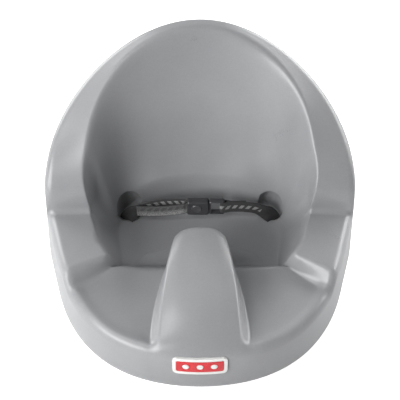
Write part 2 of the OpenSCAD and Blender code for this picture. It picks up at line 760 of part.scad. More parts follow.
// ---- badge ----------------------------------------------------------------------------------
// A plain plate bent round the front wall, with a coloured panel and three round bosses
badge_corner = 6;
badge_wall_y = front_y + wall_draft * (badge_z - base_r);
panel_t = 1.2;
panel_deep = 0.9;
boss_step = 17;
panel_size = [badge_w - 2 * badge_border, badge_h - 2 * badge_border];

module badge_place() {
    translate([0, badge_wall_y, badge_z])
        rotate([-badge_lean, 0, 0])
            children();
}

// A flat shape bent to the curve of the front wall, between two distances out from the wall
module badge_curve(inner, outer) {
    intersection() {
        translate([0, 0, -badge_h])
            difference() {
                translate([0, front_r, 0])
                    cylinder(r = front_r + outer, h = 2 * badge_h, $fn = 256);
                translate([0, front_r, -1])
                    cylinder(r = front_r + inner, h = 2 * badge_h + 2, $fn = 256);
            }
        rotate([90, 0, 0])
            linear_extrude(40, center = true)
                children();
    }
}

module badge_bosses(d) {
    for (i = [-1:1])
        translate([i * boss_step, 0])
            circle(d = d);
}

module badge_plate() {
    color([0.95, 0.95, 0.94])
    badge_place()
        difference() {
            badge_curve(badge_proud - badge_t, badge_proud)
                rounded([badge_w, badge_h], badge_corner);
            badge_curve(badge_proud - panel_deep, badge_proud + 5)
                difference() {
                    rounded(panel_size, badge_corner - 3);
                    badge_bosses(boss_d);
                }
        }
}

module badge_panel() {
    color([0.85, 0.1, 0.12])
    badge_place()
        badge_curve(badge_proud - panel_deep, badge_proud - panel_deep + panel_t)
            difference() {
                rounded(panel_size - [gap, gap], badge_corner - 3);
                badge_bosses(boss_d + gap);
            }
}

foam_body();
strap_left();
strap_right();
buckle_front_shell();
buckle_back_shell();
release_button();
button_spring();
buckle_latch();
retainer_left();
retainer_right();
badge_plate();
badge_panel();
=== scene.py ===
"""Looks of a moulded foam floor seat: its skin, its lap belt and buckle, its badge and a studio."""
import logging
import math
from dataclasses import dataclass, field
from enum import Enum
from typing import Callable, Sequence

import bmesh
import bpy
import numpy as np
from mathutils import Matrix, Vector


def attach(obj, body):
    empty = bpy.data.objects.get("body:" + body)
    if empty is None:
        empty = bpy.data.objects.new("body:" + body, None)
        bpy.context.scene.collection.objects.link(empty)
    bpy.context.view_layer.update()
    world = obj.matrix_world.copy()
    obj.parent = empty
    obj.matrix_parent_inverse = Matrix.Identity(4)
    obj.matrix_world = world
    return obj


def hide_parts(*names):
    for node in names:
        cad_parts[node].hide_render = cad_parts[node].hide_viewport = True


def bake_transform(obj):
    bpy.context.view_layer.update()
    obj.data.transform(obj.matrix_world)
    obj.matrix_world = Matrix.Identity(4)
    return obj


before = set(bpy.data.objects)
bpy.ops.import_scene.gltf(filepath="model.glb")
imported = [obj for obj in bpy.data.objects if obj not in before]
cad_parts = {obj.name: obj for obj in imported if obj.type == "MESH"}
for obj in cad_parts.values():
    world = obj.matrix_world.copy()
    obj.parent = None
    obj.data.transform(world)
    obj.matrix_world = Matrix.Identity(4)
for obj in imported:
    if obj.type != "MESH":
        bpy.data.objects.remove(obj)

log = logging.getLogger("floor_seat")
MM = 0.001
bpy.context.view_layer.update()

Point = tuple[float, float, float]
Flat = tuple[float, float]
Tone = tuple[int, int, int]
Colour = tuple[float, float, float, float]
Piece = bpy.types.Object
Socket = bpy.types.NodeSocket


class Body(Enum):
    """The bodies that a piece can ride on."""

    SEAT = "seat"
    BUTTON = "button"
    LATCH = "latch"


class Face(Enum):
    """Which face of the webbing looks forward."""

    OUTER = 1
    REVERSE = -1


# ---- sums
def mix(a: float, b: float, t: float) -> float:
    """The value a share t of the way from a to b."""
    return a + (b - a) * t


def clamp(t: float) -> float:
    """t, kept between 0 and 1."""
    return min(max(t, 0.0), 1.0)


def ease(t: float) -> float:
    """A smooth climb from 0 to 1 with level ends."""
    u = clamp(t)
    return u * u * u * (10 - 15 * u + 6 * u * u)


def ramp(x: float, span: Flat) -> float:
    """A smooth climb from 0 to 1 while x crosses a span."""
    return ease((x - span[0]) / (span[1] - span[0]))


def smooth_min(a: float, b: float, k: float) -> float:
    """The smaller of a and b, rounded over a width k."""
    h = max(k - abs(a - b), 0) / k
    return min(a, b) - h * h * k / 4


def smooth_max(a: float, b: float, k: float) -> float:
    """The larger of a and b, rounded over a width k."""
    return -smooth_min(-a, -b, k)


def dome(t: float) -> float:
    """A quarter circle that climbs from 0 to 1."""
    return math.sqrt(max(0.0, 1 - (1 - clamp(t)) ** 2))


def steps(a: float, b: float, n: int) -> list[float]:
    """n even values from a, with b left off."""
    return [mix(a, b, i / n) for i in range(n)]


def quarter_steps(width: float, n: int) -> list[float]:
    """n values from 0 towards width, close together at the start, as on an arc."""
    return [width * (1 - math.cos(math.pi / 2 * i / n)) for i in range(n)]


def bezier(p: Sequence[Sequence[float]], t: float) -> tuple[float, ...]:
    """The point at t on a cubic curve.

    Args:
        p: its four points, with any number of coordinates.
        t: from 0 at the first point to 1 at the last.

    Returns:
        The point, with as many coordinates.
    """
    c = ((1 - t) ** 3, 3 * t * (1 - t) ** 2, 3 * t * t * (1 - t), t**3)
    return tuple(sum(c[i] * p[i][k] for i in range(4)) for k in range(len(p[0])))


def bezier_at(p: Sequence[Flat], x: float) -> float:
    """The height of a curve that climbs along x, found by halving.

    Args:
        p: its four points.
        x: the place along it.

    Returns:
        The second coordinate there.
    """
    low, high = 0.0, 1.0
    for _ in range(30):
        t = (low + high) / 2
        if bezier(p, t)[0] < x:
            low = t
        else:
            high = t
    return bezier(p, (low + high) / 2)[1]


def line_height(w: float, a: Flat, b: Flat) -> float:
    """The height at w of the straight line through a and b."""
    return mix(a[1], b[1], (w - a[0]) / (b[0] - a[0]))


def arc(start: int, stop: int) -> list[Flat]:
    """The cosine and sine of every 15th degree from start to stop."""
    step = 15 if stop > start else -15
    return [(math.cos(a), math.sin(a)) for a in np.radians(range(start, stop + step // 15, step))]


def summed(gaps: np.ndarray) -> np.ndarray:
    """The places along a path, from the gaps between them."""
    return np.concatenate([[0], np.cumsum(gaps)])


def unit(v: np.ndarray) -> np.ndarray:
    """v at length 1."""
    return v / np.linalg.norm(v)


def linear(tone: Tone) -> Colour:
    """A colour as a screen shows it, 0 to 255, in the values that a shader takes."""
    shares = (c / 255 for c in tone)
    return tuple(c / 12.92 if c <= 0.04045 else ((c + 0.055) / 1.055) ** 2.4 for c in shares) + (1.0,)


def scaled(colour: Colour, factor: float, lift: float = 0.0) -> Colour:
    """A colour made darker or paler by a factor, and then lifted."""
    return tuple(min(c * factor + lift, 1) for c in colour[:3]) + (1.0,)


# ---- hand tools
def pick_only(piece: Piece) -> None:
    """Leaves this object alone selected and active."""
    bpy.ops.object.select_all(action="DESELECT")
    piece.select_set(True)
    bpy.context.view_layer.objects.active = piece


def settle(piece: Piece) -> None:
    """Puts the object's place, turn and scale into its mesh."""
    pick_only(piece)
    bpy.ops.object.transform_apply(location=True, rotation=True, scale=True)


def finish_with(piece: Piece, kind: str, **settings: object) -> None:
    """Adds a modifier and applies it.

    Args:
        piece: the object.
        kind: the modifier's type.
        settings: its settings by name.
    """
    pick_only(piece)
    bpy.ops.object.modifier_add(type=kind)
    modifier = piece.modifiers[-1]
    for key, value in settings.items():
        setattr(modifier, key, value)
    bpy.ops.object.modifier_apply(modifier=modifier.name)


def cut_away(piece: Piece, cutter: Piece) -> None:
    """Takes the cutter's space out of the piece and deletes the cutter."""
    finish_with(piece, "BOOLEAN", operation="DIFFERENCE", object=cutter, solver="EXACT")
    bpy.data.objects.remove(cutter, do_unlink=True)


def joined(pieces: Sequence[Piece], name: str) -> Piece:
    """Several objects as one.

    Args:
        pieces: the objects, which the call uses up.
        name: the name of the one that is left.

    Returns:
        That object.
    """
    pick_only(pieces[0])
    for other in pieces[1:]:
        other.select_set(True)
    bpy.ops.object.join()
    pieces[0].name = name
    return pieces[0]


def edit(piece: Piece, kind: str) -> None:
    """Opens the mesh for editing in VERT, EDGE or FACE mode with nothing selected."""
    pick_only(piece)
    bpy.ops.object.mode_set(mode="EDIT")
    bpy.ops.mesh.select_mode(type=kind)
    bpy.ops.mesh.select_all(action="DESELECT")


def close_edit() -> None:
    """Leaves edit mode."""
    bpy.ops.object.mode_set(mode="OBJECT")


def select_where(piece: Piece, kind: str, wanted: Callable[[object], bool]) -> None:
    """Selects the "faces" or "edges" that a test wants, in edit mode."""
    mesh = bmesh.from_edit_mesh(piece.data)
    for part in getattr(mesh, kind):
        part.select = wanted(part)
    if kind == "faces":
        mesh.select_flush(True)
    bmesh.update_edit_mesh(piece.data)


def face_outwards(piece: Piece, merge: float | None = None) -> None:
    """Turns every face outwards.

    Args:
        piece: a closed mesh.
        merge: the distance in m within which its points are merged first, if they are.
    """
    edit(piece, "FACE")
    bpy.ops.mesh.select_all(action="SELECT")
    if merge:
        bpy.ops.mesh.remove_doubles(threshold=merge)
    bpy.ops.mesh.normals_make_consistent(inside=False)
    close_edit()


def round_edges(piece: Piece, width: float, segments: int) -> None:
    """Rounds the edges sharper than 50 degrees over a width in mm, and merges points that meet."""
    finish_with(piece, "BEVEL", width=width * MM, segments=segments, limit_method="ANGLE",
                angle_limit=math.radians(50))
    face_outwards(piece, merge=1e-6)


def wear(piece: Piece, finish: bpy.types.Material) -> None:
    """Gives the piece this finish alone."""
    piece.data.materials.clear()
    piece.data.materials.append(finish)


def rounded_block(name: str, size: Point, corner: float, along: int, n: int = 6) -> Piece:
    """A block about the origin whose four edges along one axis are rounded.

    Args:
        name: the object's name.
        size: its three sizes in mm.
        corner: the radius of those edges in mm.
        along: the axis that they run along, 0 to 2.
        n: the number of steps in each rounding.

    Returns:
        The block, settled.
    """
    bpy.ops.mesh.primitive_cube_add(size=1)
    block = bpy.context.object
    block.name = name
    block.scale = [s * MM for s in size]
    settle(block)
    edit(block, "EDGE")
    select_where(block, "edges", lambda e: abs((e.verts[0].co - e.verts[1].co).normalized()[along]) > 0.9)
    bpy.ops.mesh.bevel(offset=corner * MM, segments=n, profile=0.5, affect="EDGES")
    close_edit()
    return block


def place(piece: Piece, at: Point) -> Piece:
    """Moves the mesh by a distance in mm."""
    piece.data.transform(Matrix.Translation([c * MM for c in at]))
    return piece


def mesh_piece(name: str, points: np.ndarray, faces: list) -> Piece:
    """A new closed object from points in mm.

    Args:
        name: the object's name.
        points: the points, three numbers each.
        faces: the faces as lists of point numbers.

    Returns:
        The object, in the scene, with its faces turned outwards.
    """
    mesh = bpy.data.meshes.new(name)
    mesh.from_pydata((np.asarray(points) * MM).tolist(), [], faces)
    mesh.update()
    piece = bpy.data.objects.new(name, mesh)
    bpy.context.collection.objects.link(piece)
    face_outwards(piece)
    return piece


def write_values(piece: Piece, name: str, values: np.ndarray) -> None:
    """Keeps one number for each point of the mesh, for its material to read."""
    layer = piece.data.attributes.new(name, "FLOAT", "POINT")
    layer.data.foreach_set("value", np.asarray(values, np.float32))


def smooth_shade(piece: Piece, angle: float) -> None:
    """Shades smooth, but not across edges sharper than the angle, in degrees."""
    pick_only(piece)
    bpy.ops.object.shade_smooth_by_angle(angle=math.radians(angle))


def mark_edges(piece: Piece, radius: float) -> None:
    """Writes the attribute "edge": 1 where the surface rounds outwards as tightly as radius, in mm."""
    mesh = bmesh.new()
    mesh.from_mesh(piece.data)
    mesh.normal_update()
    bent = []
    for v in mesh.verts:
        around = [e.other_vert(v).co - v.co for e in v.link_edges]
        n = max(len(around), 1)
        off = sum(around, Vector()) / n
        span = sum(p.length_squared for p in around) / n
        bent.append(-off.dot(v.normal) * 2 / max(span, 1e-10))
    mesh.free()
    write_values(piece, "edge", np.clip(np.array(bent) * radius * MM, 0, 1))


# ---- finishes
class Layers:
    """A tree of shader nodes, with a short call for each kind of layer."""

    def __init__(self, owner: bpy.types.ID, surface: str, output: str = "Material") -> None:
        """Starts the tree afresh.

        Args:
            owner: the material or world that it belongs to.
            surface: the kind of its last shader, as Blender names it.
            output: the kind of its output.
        """
        self.owner = owner
        owner.use_nodes = True
        self.tree = owner.node_tree
        self.tree.nodes.clear()
        self.shader = self.add(surface)
        self.link(self.shader.outputs[0], self.add("Output" + output).inputs["Surface"])

    def add(self, kind: str) -> bpy.types.Node:
        """A new node, named without the word that every kind starts with."""
        return self.tree.nodes.new("ShaderNode" + kind)

    def link(self, out: Socket, into: Socket) -> None:
        """Joins two sockets."""
        self.tree.links.new(out, into)

    def feed(self, socket: Socket, value: object) -> None:
        """Links an output to a socket, or sets the socket's number."""
        if isinstance(value, Socket):
            self.link(value, socket)
        else:
            socket.default_value = value

    def place(self) -> Socket:
        """The object's own coordinates."""
        if "place" not in self.tree.nodes:
            self.add("TexCoord").name = "place"
        return self.tree.nodes["place"].outputs["Object"]

    def attribute(self, name: str) -> Socket:
        """The numbers that the piece's mesh keeps under a name."""
        node = self.add("Attribute")
        node.attribute_name = name
        return node.outputs["Fac"]

    def stretched(self, scale: Point) -> Socket:
        """Object coordinates with a scale for each axis."""
        node = self.add("Mapping")
        self.link(self.place(), node.inputs["Vector"])
        node.inputs["Scale"].default_value = scale
        return node.outputs["Vector"]

    def noise(self, size: float, detail: float, rough: float, at: Socket | None = None) -> Socket:
        """Cloudy noise.

        Args:
            size: the size of its clouds in mm, or 1 for coordinates that are already scaled.
            detail: the number of finer layers.
            rough: how strong those are.
            at: coordinates other than the object's.

        Returns:
            The noise, 0 to 1.
        """
        node = self.add("TexNoise")
        self.link(at or self.place(), node.inputs["Vector"])
        node.inputs["Scale"].default_value = 1.0 if at else 1 / (size * MM)
        node.inputs["Detail"].default_value = detail
        node.inputs["Roughness"].default_value = rough
        return node.outputs["Fac"]

    def cells(self, size: float) -> Socket:
        """Distance to the middle of leather-like cells of a size in mm."""
        node = self.add("TexVoronoi")
        node.feature = "SMOOTH_F1"
        self.link(self.place(), node.inputs["Vector"])
        node.inputs["Scale"].default_value = 1 / (size * MM)
        return node.outputs["Distance"]

    def sum(self, kind: str, a: object, b: object = 0.0) -> Socket:
        """A sum on one or two values, named as Blender names it."""
        node = self.add("Math")
        node.operation = kind
        self.feed(node.inputs[0], a)
        self.feed(node.inputs[1], b)
        return node.outputs["Value"]

    def times(self, a: object, b: object) -> Socket:
        """The product of two values."""
        return self.sum("MULTIPLY", a, b)

    def spread(self, value: Socket, a: Flat, b: Flat = (0.0, 1.0)) -> Socket:
        """value, which runs over a, laid out over b and kept inside it."""
        node = self.add("MapRange")
        self.link(value, node.inputs["Value"])
        node.inputs["From Min"].default_value, node.inputs["From Max"].default_value = a
        node.inputs["To Min"].default_value, node.inputs["To Max"].default_value = b
        return node.outputs["Result"]

    def tint(self, share: object, a: object, b: object) -> Socket:
        """The colour a share of the way from a to b."""
        node = self.add("Mix")
        node.data_type = "RGBA"
        for socket, value in ((node.inputs["Factor"], share), (node.inputs[6], a), (node.inputs[7], b)):
            self.feed(socket, value)
        return node.outputs[2]

    def relief(self, height: Socket, depth: float, strength: float, under: Socket | None = None) -> Socket:
        """Bumps on the surface.

        Args:
            height: 0 to 1.
            depth: the depth in mm that 1 stands for.
            strength: from 0 to 1.
            under: the bumps that these lie on.

        Returns:
            The normal.
        """
        node = self.add("Bump")
        node.inputs["Strength"].default_value = strength
        node.inputs["Distance"].default_value = depth * MM
        self.link(height, node.inputs["Height"])
        if under:
            self.link(under, node.inputs["Normal"])
        return node.outputs["Normal"]

    def seen_white(self, sheen: float) -> Socket:
        """How white the surroundings look: 1 to the camera, and sheen in a reflection."""
        rays = self.add("LightPath").outputs
        return self.sum("MAXIMUM", rays["Is Camera Ray"], self.times(rays["Is Glossy Ray"], sheen))

    def finish(self, **inputs: object) -> bpy.types.ID:
        """Feeds the last shader's sockets, with _ for a space in their names, and gives the owner."""
        for key, value in inputs.items():
            self.feed(self.shader.inputs[key.replace("_", " ")], value)
        return self.owner


def paint(name: str) -> Layers:
    """The layers of a new material."""
    return Layers(bpy.data.materials.new(name), "BsdfPrincipled")


@dataclass(frozen=True)
class FoamSkin:
    """Satin skin of self-skinned foam, with a fine leathery grain and small pores."""

    colour: Tone = (146, 147, 149)
    grain: float = 1.3
    depth: float = 0.032
    shine: Flat = (0.27, 0.34)

    def material(self) -> bpy.types.Material:
        """The material."""
        m = paint("foam_skin")
        cloud = m.noise(70, 3, 0.55)
        speck = m.noise(2.4, 3, 0.6)
        grain = m.cells(self.grain)
        pores = m.noise(0.5, 2, 0.6)
        base = linear(self.colour)
        dark, pale = scaled(base, 0.93), scaled(base, 1.22)
        ground = m.tint(m.spread(cloud, (0.35, 0.65)), dark, base)
        ground = m.tint(m.spread(speck, (0.3, 0.7), (0, 0.22)), ground, pale)
        # painted highlight: the skin is made paler where the edge values mark tight convex edges, broken up
        # by specks
        paler_share = m.times(m.attribute("edge"), m.spread(speck, (0.3, 0.6), (0.25, 0.6)))
        colour = m.tint(paler_share, ground, pale)
        shine = m.spread(m.sum("ADD", cloud, m.times(grain, 0.12)), (0.3, 0.85), self.shine)
        coarse = m.relief(grain, self.depth, 0.55)
        fine = m.relief(pores, self.depth * 0.4, 0.35, coarse)
        return m.finish(Base_Color=colour, Roughness=shine, Normal=fine, Specular_IOR_Level=0.5)


@dataclass(frozen=True)
class Webbing:
    """Woven polyester webbing, with bound edges and a plain row of slanted bars woven in."""

    name: str
    dark: Tone = (50, 50, 52)
    light: Tone = (172, 172, 172)
    dust: Tone = (90, 90, 92)
    yarn: float = 1.0
    pick: float = 0.9
    bar_pitch: float = 9.0
    bar_half: float = 3.0
    bar_lift: float = 0.0
    bar_slant: float = 0.6
    bar_share: float = 0.55
    band_half: float = 8.6

    def material(self) -> bpy.types.Material:
        """The material, which reads the attributes along and across in mm, reverse and motif."""
        m = paint(self.name)
        along, across = m.attribute("along"), m.attribute("across")
        warp = m.times(across, 1 / self.yarn)
        pick = m.times(along, 1 / self.pick)
        rib = m.sum("ABSOLUTE", m.sum("SINE", m.times(warp, math.pi)))
        shift = m.times(m.sum("FLOOR", warp), math.pi)
        over = m.sum("SINE", m.sum("ADD", m.times(pick, math.pi), shift))
        height = m.times(rib, m.spread(over, (-1, 1), (0.45, 1)))
        fibre = m.noise(0.35, 2, 0.7)
        cloud = m.noise(9, 2, 0.5)
        dark, light = linear(self.dark), linear(self.light)
        slant = m.sum("ADD", m.times(along, 1 / self.bar_pitch),
                      m.times(across, self.bar_slant / self.bar_pitch))
        bar = m.sum("LESS_THAN", m.sum("FRACT", slant), self.bar_share)
        near = m.sum("LESS_THAN", m.sum("ABSOLUTE", m.sum("SUBTRACT", across, self.bar_lift)), self.bar_half)
        band = m.sum("LESS_THAN", m.sum("ABSOLUTE", across), self.band_half)
        front = m.times(m.times(bar, near), m.attribute("motif"))
        # the reverse face shows pale flecks, stronger towards the strap's lower edge
        fleck = m.spread(m.noise(1.3, 2, 0.7), (0.38, 0.6), (0.25, 1.0))
        paler_share = m.times(fleck, m.spread(across, (-5, 2), (1.0, 0.25)))
        back = m.times(m.times(band, paler_share), m.spread(front, (0, 1), (1.0, 0.3)))
        share = m.spread(m.attribute("reverse"), (0.4, 0.6))
        shown = m.sum("ADD", m.times(front, m.sum("SUBTRACT", 1.0, share)), m.times(back, share))
        # painted shade: the weave's troughs are darker than its crowns, in both the dark ground and the light
        # one
        crown = m.spread(height, (0.1, 0.9))
        ground = m.tint(shown, m.tint(crown, scaled(dark, 0.45), dark),
                        m.tint(crown, scaled(light, 0.55), light))
        dusty = m.tint(m.spread(cloud, (0.4, 0.8), (0, 0.12)), ground, linear(self.dust))
        shine = m.spread(fibre, (0.2, 0.8), (0.68, 0.86))
        fuzz = m.relief(fibre, 0.05, 0.35, m.relief(height, 0.22, 0.8))
        return m.finish(Base_Color=dusty, Roughness=shine, Normal=fuzz, Sheen_Weight=0.25,
                        Sheen_Roughness=0.5)


@dataclass(frozen=True)
class MouldedPlastic:
    """Injection-moulded plastic with a fine spark-eroded texture and rubbed patches."""

    name: str
    colour: Tone
    grain: float = 0.28
    depth: float = 0.02
    shine: Flat = (0.42, 0.56)

    def material(self) -> bpy.types.Material:
        """The material."""
        m = paint(self.name)
        spark = m.noise(self.grain, 2, 0.7)
        cloud = m.noise(11, 3, 0.6)
        scuff = m.noise(2.2, 4, 0.7)
        base = linear(self.colour)
        dark, pale = scaled(base, 0.86), scaled(base, 1.5, 0.006)
        ground = m.tint(m.spread(cloud, (0.3, 0.7)), dark, base)
        colour = m.tint(m.spread(scuff, (0.56, 0.78), (0, 0.35)), ground, pale)
        shine = m.spread(m.sum("ADD", cloud, m.times(spark, 0.4)), (0.4, 1.0), self.shine)
        swell = m.relief(cloud, 0.08, 0.12)
        return m.finish(Base_Color=colour, Roughness=shine, Normal=m.relief(spark, self.depth, 0.6, swell))


@dataclass(frozen=True)
class GlossPlastic:
    """Glossy plastic with a faint swim in its surface and a trace of dust."""

    name: str
    colour: Tone
    shine: Flat = (0.16, 0.26)

    def material(self) -> bpy.types.Material:
        """The material."""
        m = paint(self.name)
        swim = m.noise(3.5, 2, 0.4)
        cloud = m.noise(16, 2, 0.5)
        dust = m.noise(0.4, 2, 0.8)
        base = linear(self.colour)
        ground = m.tint(m.spread(cloud, (0.35, 0.65)), scaled(base, 0.92), base)
        colour = m.tint(m.spread(dust, (0.66, 0.8), (0, 0.18)), ground, linear((205, 203, 200)))
        shine = m.spread(m.sum("ADD", m.times(cloud, 0.5), m.times(dust, 0.5)),
                         (0.35, 0.7), self.shine)
        return m.finish(Base_Color=colour, Roughness=shine, Normal=m.relief(swim, 0.05, 0.2),
                        Coat_Weight=0.25, Coat_Roughness=0.12)


@dataclass(frozen=True)
class SpringWire:
    """Drawn spring wire, with fine lines along it and a few dull patches."""

    colour: Tone = (190, 191, 194)

    def material(self) -> bpy.types.Material:
        """The material."""
        m = paint("spring_wire")
        drawn = m.noise(1, 3, 0.7, m.stretched((1500, 6000, 1500)))
        cloud = m.noise(1.6, 3, 0.6)
        base = linear(self.colour)
        colour = m.tint(m.spread(cloud, (0.45, 0.75), (0, 0.6)), base, scaled(base, 0.7))
        shine = m.spread(drawn, (0.25, 0.75), (0.2, 0.38))
        return m.finish(Base_Color=colour, Metallic=1.0, Roughness=shine,
                        Normal=m.relief(drawn, 0.01, 0.4))


# ---- foam
@dataclass(frozen=True)
class FoamSizes:
    """Sizes of the foam body in mm, most of them those of the part's source.

    Angles are in degrees round the outline, from the front: the pairs lip_climbs, pan_levels and
    those in _starts and _ends, over which one form runs into the next, and crown_angle and those
    in _from.
    """

    seat_w: float = 399
    back_reach: float = 170
    front_y: float = -190.266
    widest_y: float = 22.734
    front_r: float = 186.5
    front_swell: float = 4
    back_z: float = 274
    shoulder_z: float = 199
    hip_blend: float = 4
    base_r: float = 10
    wall_draft: float = 0.03
    rim_fall: float = 14
    rim_round: float = 12
    rim_back_w: float = 25
    arm_z: float = 93
    arm_w: float = 51
    arm_back: float = 16
    arm_step_r: float = 9
    arm_step_turn: float = math.radians(80)
    arm_step_from: float = 74
    ledge_w: float = 6
    ledge_flare: float = 0.2
    ledge_flare_from: float = 84
    ledge_draft: float = 0.13
    ledge_foot_r: float = 10
    ledge_ends: Flat = (94, 112)
    lip_z: float = 68
    lip_w: float = 18
    lip_drop: float = 3
    lip_climb: float = 6
    lip_climbs: Flat = (24, 54)
    lip_dips: Flat = (7, 27)
    shelf_reach: float = 64
    shelf_run: float = 34
    pan_z: float = 37
    pan_half_w: float = 107
    pan_back: float = 60
    pan_lift: float = 2
    pan_edge_up: float = 4
    pan_edge_r: float = 16
    pan_levels: Flat = (60, 90)
    bucket_starts: Flat = (51.8, 61.0)
    bucket_r: float = 14
    lumbar_z: float = 82
    lumbar_in: float = 5
    lumbar_fall: float = 9
    lumbar_r: float = 18
    lumbar_starts: Flat = (118, 158)
    knee: Flat = (27, 46)
    knee_room: float = 20
    pommel_z: float = 112
    pommel_w: float = 52
    pommel_back: float = 28
    pommel_ends: Flat = (12.8, 17.6)
    pommel_rear: float = 22
    pommel_swell: float = 5
    swell_starts: Flat = (0, 10)
    swell_ends: Flat = (24, 50)
    pommel_crown: float = 10
    crown_angle: float = 15
    crown_run: Flat = (-18, 42)
    pommel_nose_z: float = 55
    spare: float = 8
    pocket_r: float = 20
    pocket_edge_r: float = 3
    pocket_depth: float = 3.5
    pocket: Flat = (95.0, 62.734)
    slot: Flat = (97.0, 50.734)
    slot_turn: float = 35.0
    slot_size: Flat = (2.4, 21.6)
    slot_corner: float = 1.0
    hollow_in: float = 3.6
    hollow_size: Point = (34.0, 46.0, 16.0)
    hollow_corner: float = 5
    slot_cut_l: float = 60
    overcut: float = 2
    floor_cut: Point = (500, 500, 40)


@dataclass(frozen=True)
class RimColumn:
    """One column of the foam: its outline angle, rim height and whether the front blends in."""

    angle: float
    height: float
    front: bool


ARC_END = 68.0


@dataclass
class FoamSeat:
    """The one-piece foam body, lofted round the seat in rings from the base to the pan.

    The fields after the sizes say how finely it is sampled, round the seat and along a column.
    The breaks are where a column's step changes, in from the outer wall, or from the rim's inner
    edge, and out from the pan.
    """

    sizes: FoamSizes = field(default_factory=FoamSizes)
    fine: int = 4
    fine_in: int = 3
    base_rows: int = 8
    wall_rows: int = 12
    pan_rows: int = 12
    front_break: Flat = (20, 19)
    bucket_break: Flat = (-8, 12)
    rows_turn: Flat = (50, 72)
    soft_rounds: int = 3

    def __post_init__(self) -> None:
        """Works out the plan outline and the stations round it."""
        s = self.sizes
        self.hip: Flat = (s.seat_w / 2, s.widest_y)
        self.arc_y = s.front_y + s.front_r
        hip_reach = math.dist(self.hip, (0, self.arc_y))
        self.taper = math.acos(s.front_r / hip_reach) - math.atan2(self.hip[1] - self.arc_y, self.hip[0])
        self.arc_end: Flat = (s.front_r * math.cos(self.taper),
                              self.arc_y - s.front_r * math.sin(self.taper))
        half, rear = s.pan_half_w, s.pommel_back
        # each row: the angle, the width of the rim, and the inner edge's x and y from the widest section
        self.stations: list[tuple[float, float, float, float]] = [
            (0, s.lip_w, 0, -rear),
            (9, s.lip_w, 0.36 * s.pommel_w, -rear - 2),
            (14, s.lip_w, 0.55 * s.pommel_w, -rear - 10),
            (18, s.lip_w, 0.7 * s.pommel_w, -rear - 18),
            (26, s.lip_w, 0.92 * s.pommel_w, -rear - 20),
            (42, s.lip_w, half - 41, -33),
            (58, s.arm_w + 10, half - 13, -s.shelf_reach - 2),
            (72, s.arm_w + 6, half - 7, -37),
            (90, s.arm_w + 6, half - 2, 0),
            (112, s.arm_w - 1, half - 4, s.pan_back - 35),
            (132, mix(s.arm_w, s.rim_back_w, 0.42), half - 19, s.pan_back - 18),
            (154, s.rim_back_w + 5, half - 57, s.pan_back - 6),
            (180, s.rim_back_w, 0, s.pan_back),
        ]
        self.pan_foot_z = s.pan_z + s.pan_lift
        self.pan_edge_z = self.pan_foot_z + s.pan_edge_up
        self.step_foot_y = s.widest_y - s.arm_back
        self.step_face: list[Flat] = [
            (self.step_foot_y + s.arm_step_r, s.arm_z + s.arm_step_r * (1 - math.cos(s.arm_step_turn))),
            (s.widest_y - 6, mix(s.arm_z, s.shoulder_z, 0.46)),
            (s.widest_y + 32, mix(s.arm_z, s.shoulder_z, 0.66)),
            (s.widest_y + 84, s.shoulder_z),
        ]
        self.back_rail: list[Flat] = [
            self.step_face[3],
            (s.widest_y + 115, mix(s.shoulder_z, s.back_z, 0.29)),
            (s.widest_y + 148, mix(s.shoulder_z, s.back_z, 0.65)),
            (s.widest_y + s.back_reach, s.back_z),
        ]

    def _side_x(self, y: float) -> float:
        """How far out the straight tapered side stands at y."""
        return self.arc_end[0] + (y - self.arc_end[1]) * math.tan(self.taper)

    def outline(self, angle: float) -> Flat:
        """A point of the plan outline.

        Args:
            angle: 0 at the front, 90 at the widest section and 180 at the back, in degrees.

        Returns:
            Its x and y.
        """
        s = self.sizes
        if angle < ARC_END:
            turn = angle / ARC_END * (math.pi / 2 - self.taper)
            r = s.front_r + s.front_swell * math.sin(math.pi * angle / ARC_END) ** 2
            return r * math.sin(turn), self.arc_y - r * math.cos(turn)
        if angle < 90:
            y = mix(self.arc_end[1], self.hip[1], (angle - ARC_END) / (90 - ARC_END))
            return smooth_min(self._side_x(y), self.hip[0], s.hip_blend), y
        y = self.hip[1] - s.back_reach * math.cos(math.radians(angle))
        wide = self.hip[0] * math.sin(math.radians(angle))
        return smooth_min(self._side_x(y), wide, s.hip_blend), y

    def angle_at(self, y: float) -> float:
        """The outline angle of a place y on the side or the back."""
        if y < self.hip[1]:
            return mix(ARC_END, 90, (y - self.arc_end[1]) / (self.hip[1] - self.arc_end[1]))
        return math.degrees(math.acos(max(-1.0, (self.hip[1] - y) / self.sizes.back_reach)))

    def station(self, column: int, angle: float) -> float:
        """A smooth curve through one column of the stations, read at an angle."""
        rows = self.stations
        i = max(k for k in range(len(rows) - 1) if k == 0 or rows[k][0] <= angle)

        def climb(k: int) -> float:
            """The slope between a row and the next."""
            return (rows[k + 1][column] - rows[k][column]) / (rows[k + 1][0] - rows[k][0])

        def tangent(k: int) -> float:
            """The slope at a row: at the ends only the way across has one."""
            if k in (0, len(rows) - 1):
                return climb(min(k, len(rows) - 2)) if column == 2 else 0.0
            return (climb(k - 1) + climb(k)) / 2

        span = rows[i + 1][0] - rows[i][0]
        t = clamp((angle - rows[i][0]) / span)
        return ((2 * t**3 - 3 * t**2 + 1) * rows[i][column] + (t**3 - 2 * t**2 + t) * tangent(i) * span
                + (3 * t**2 - 2 * t**3) * rows[i + 1][column] + (t**3 - t**2) * tangent(i + 1) * span)

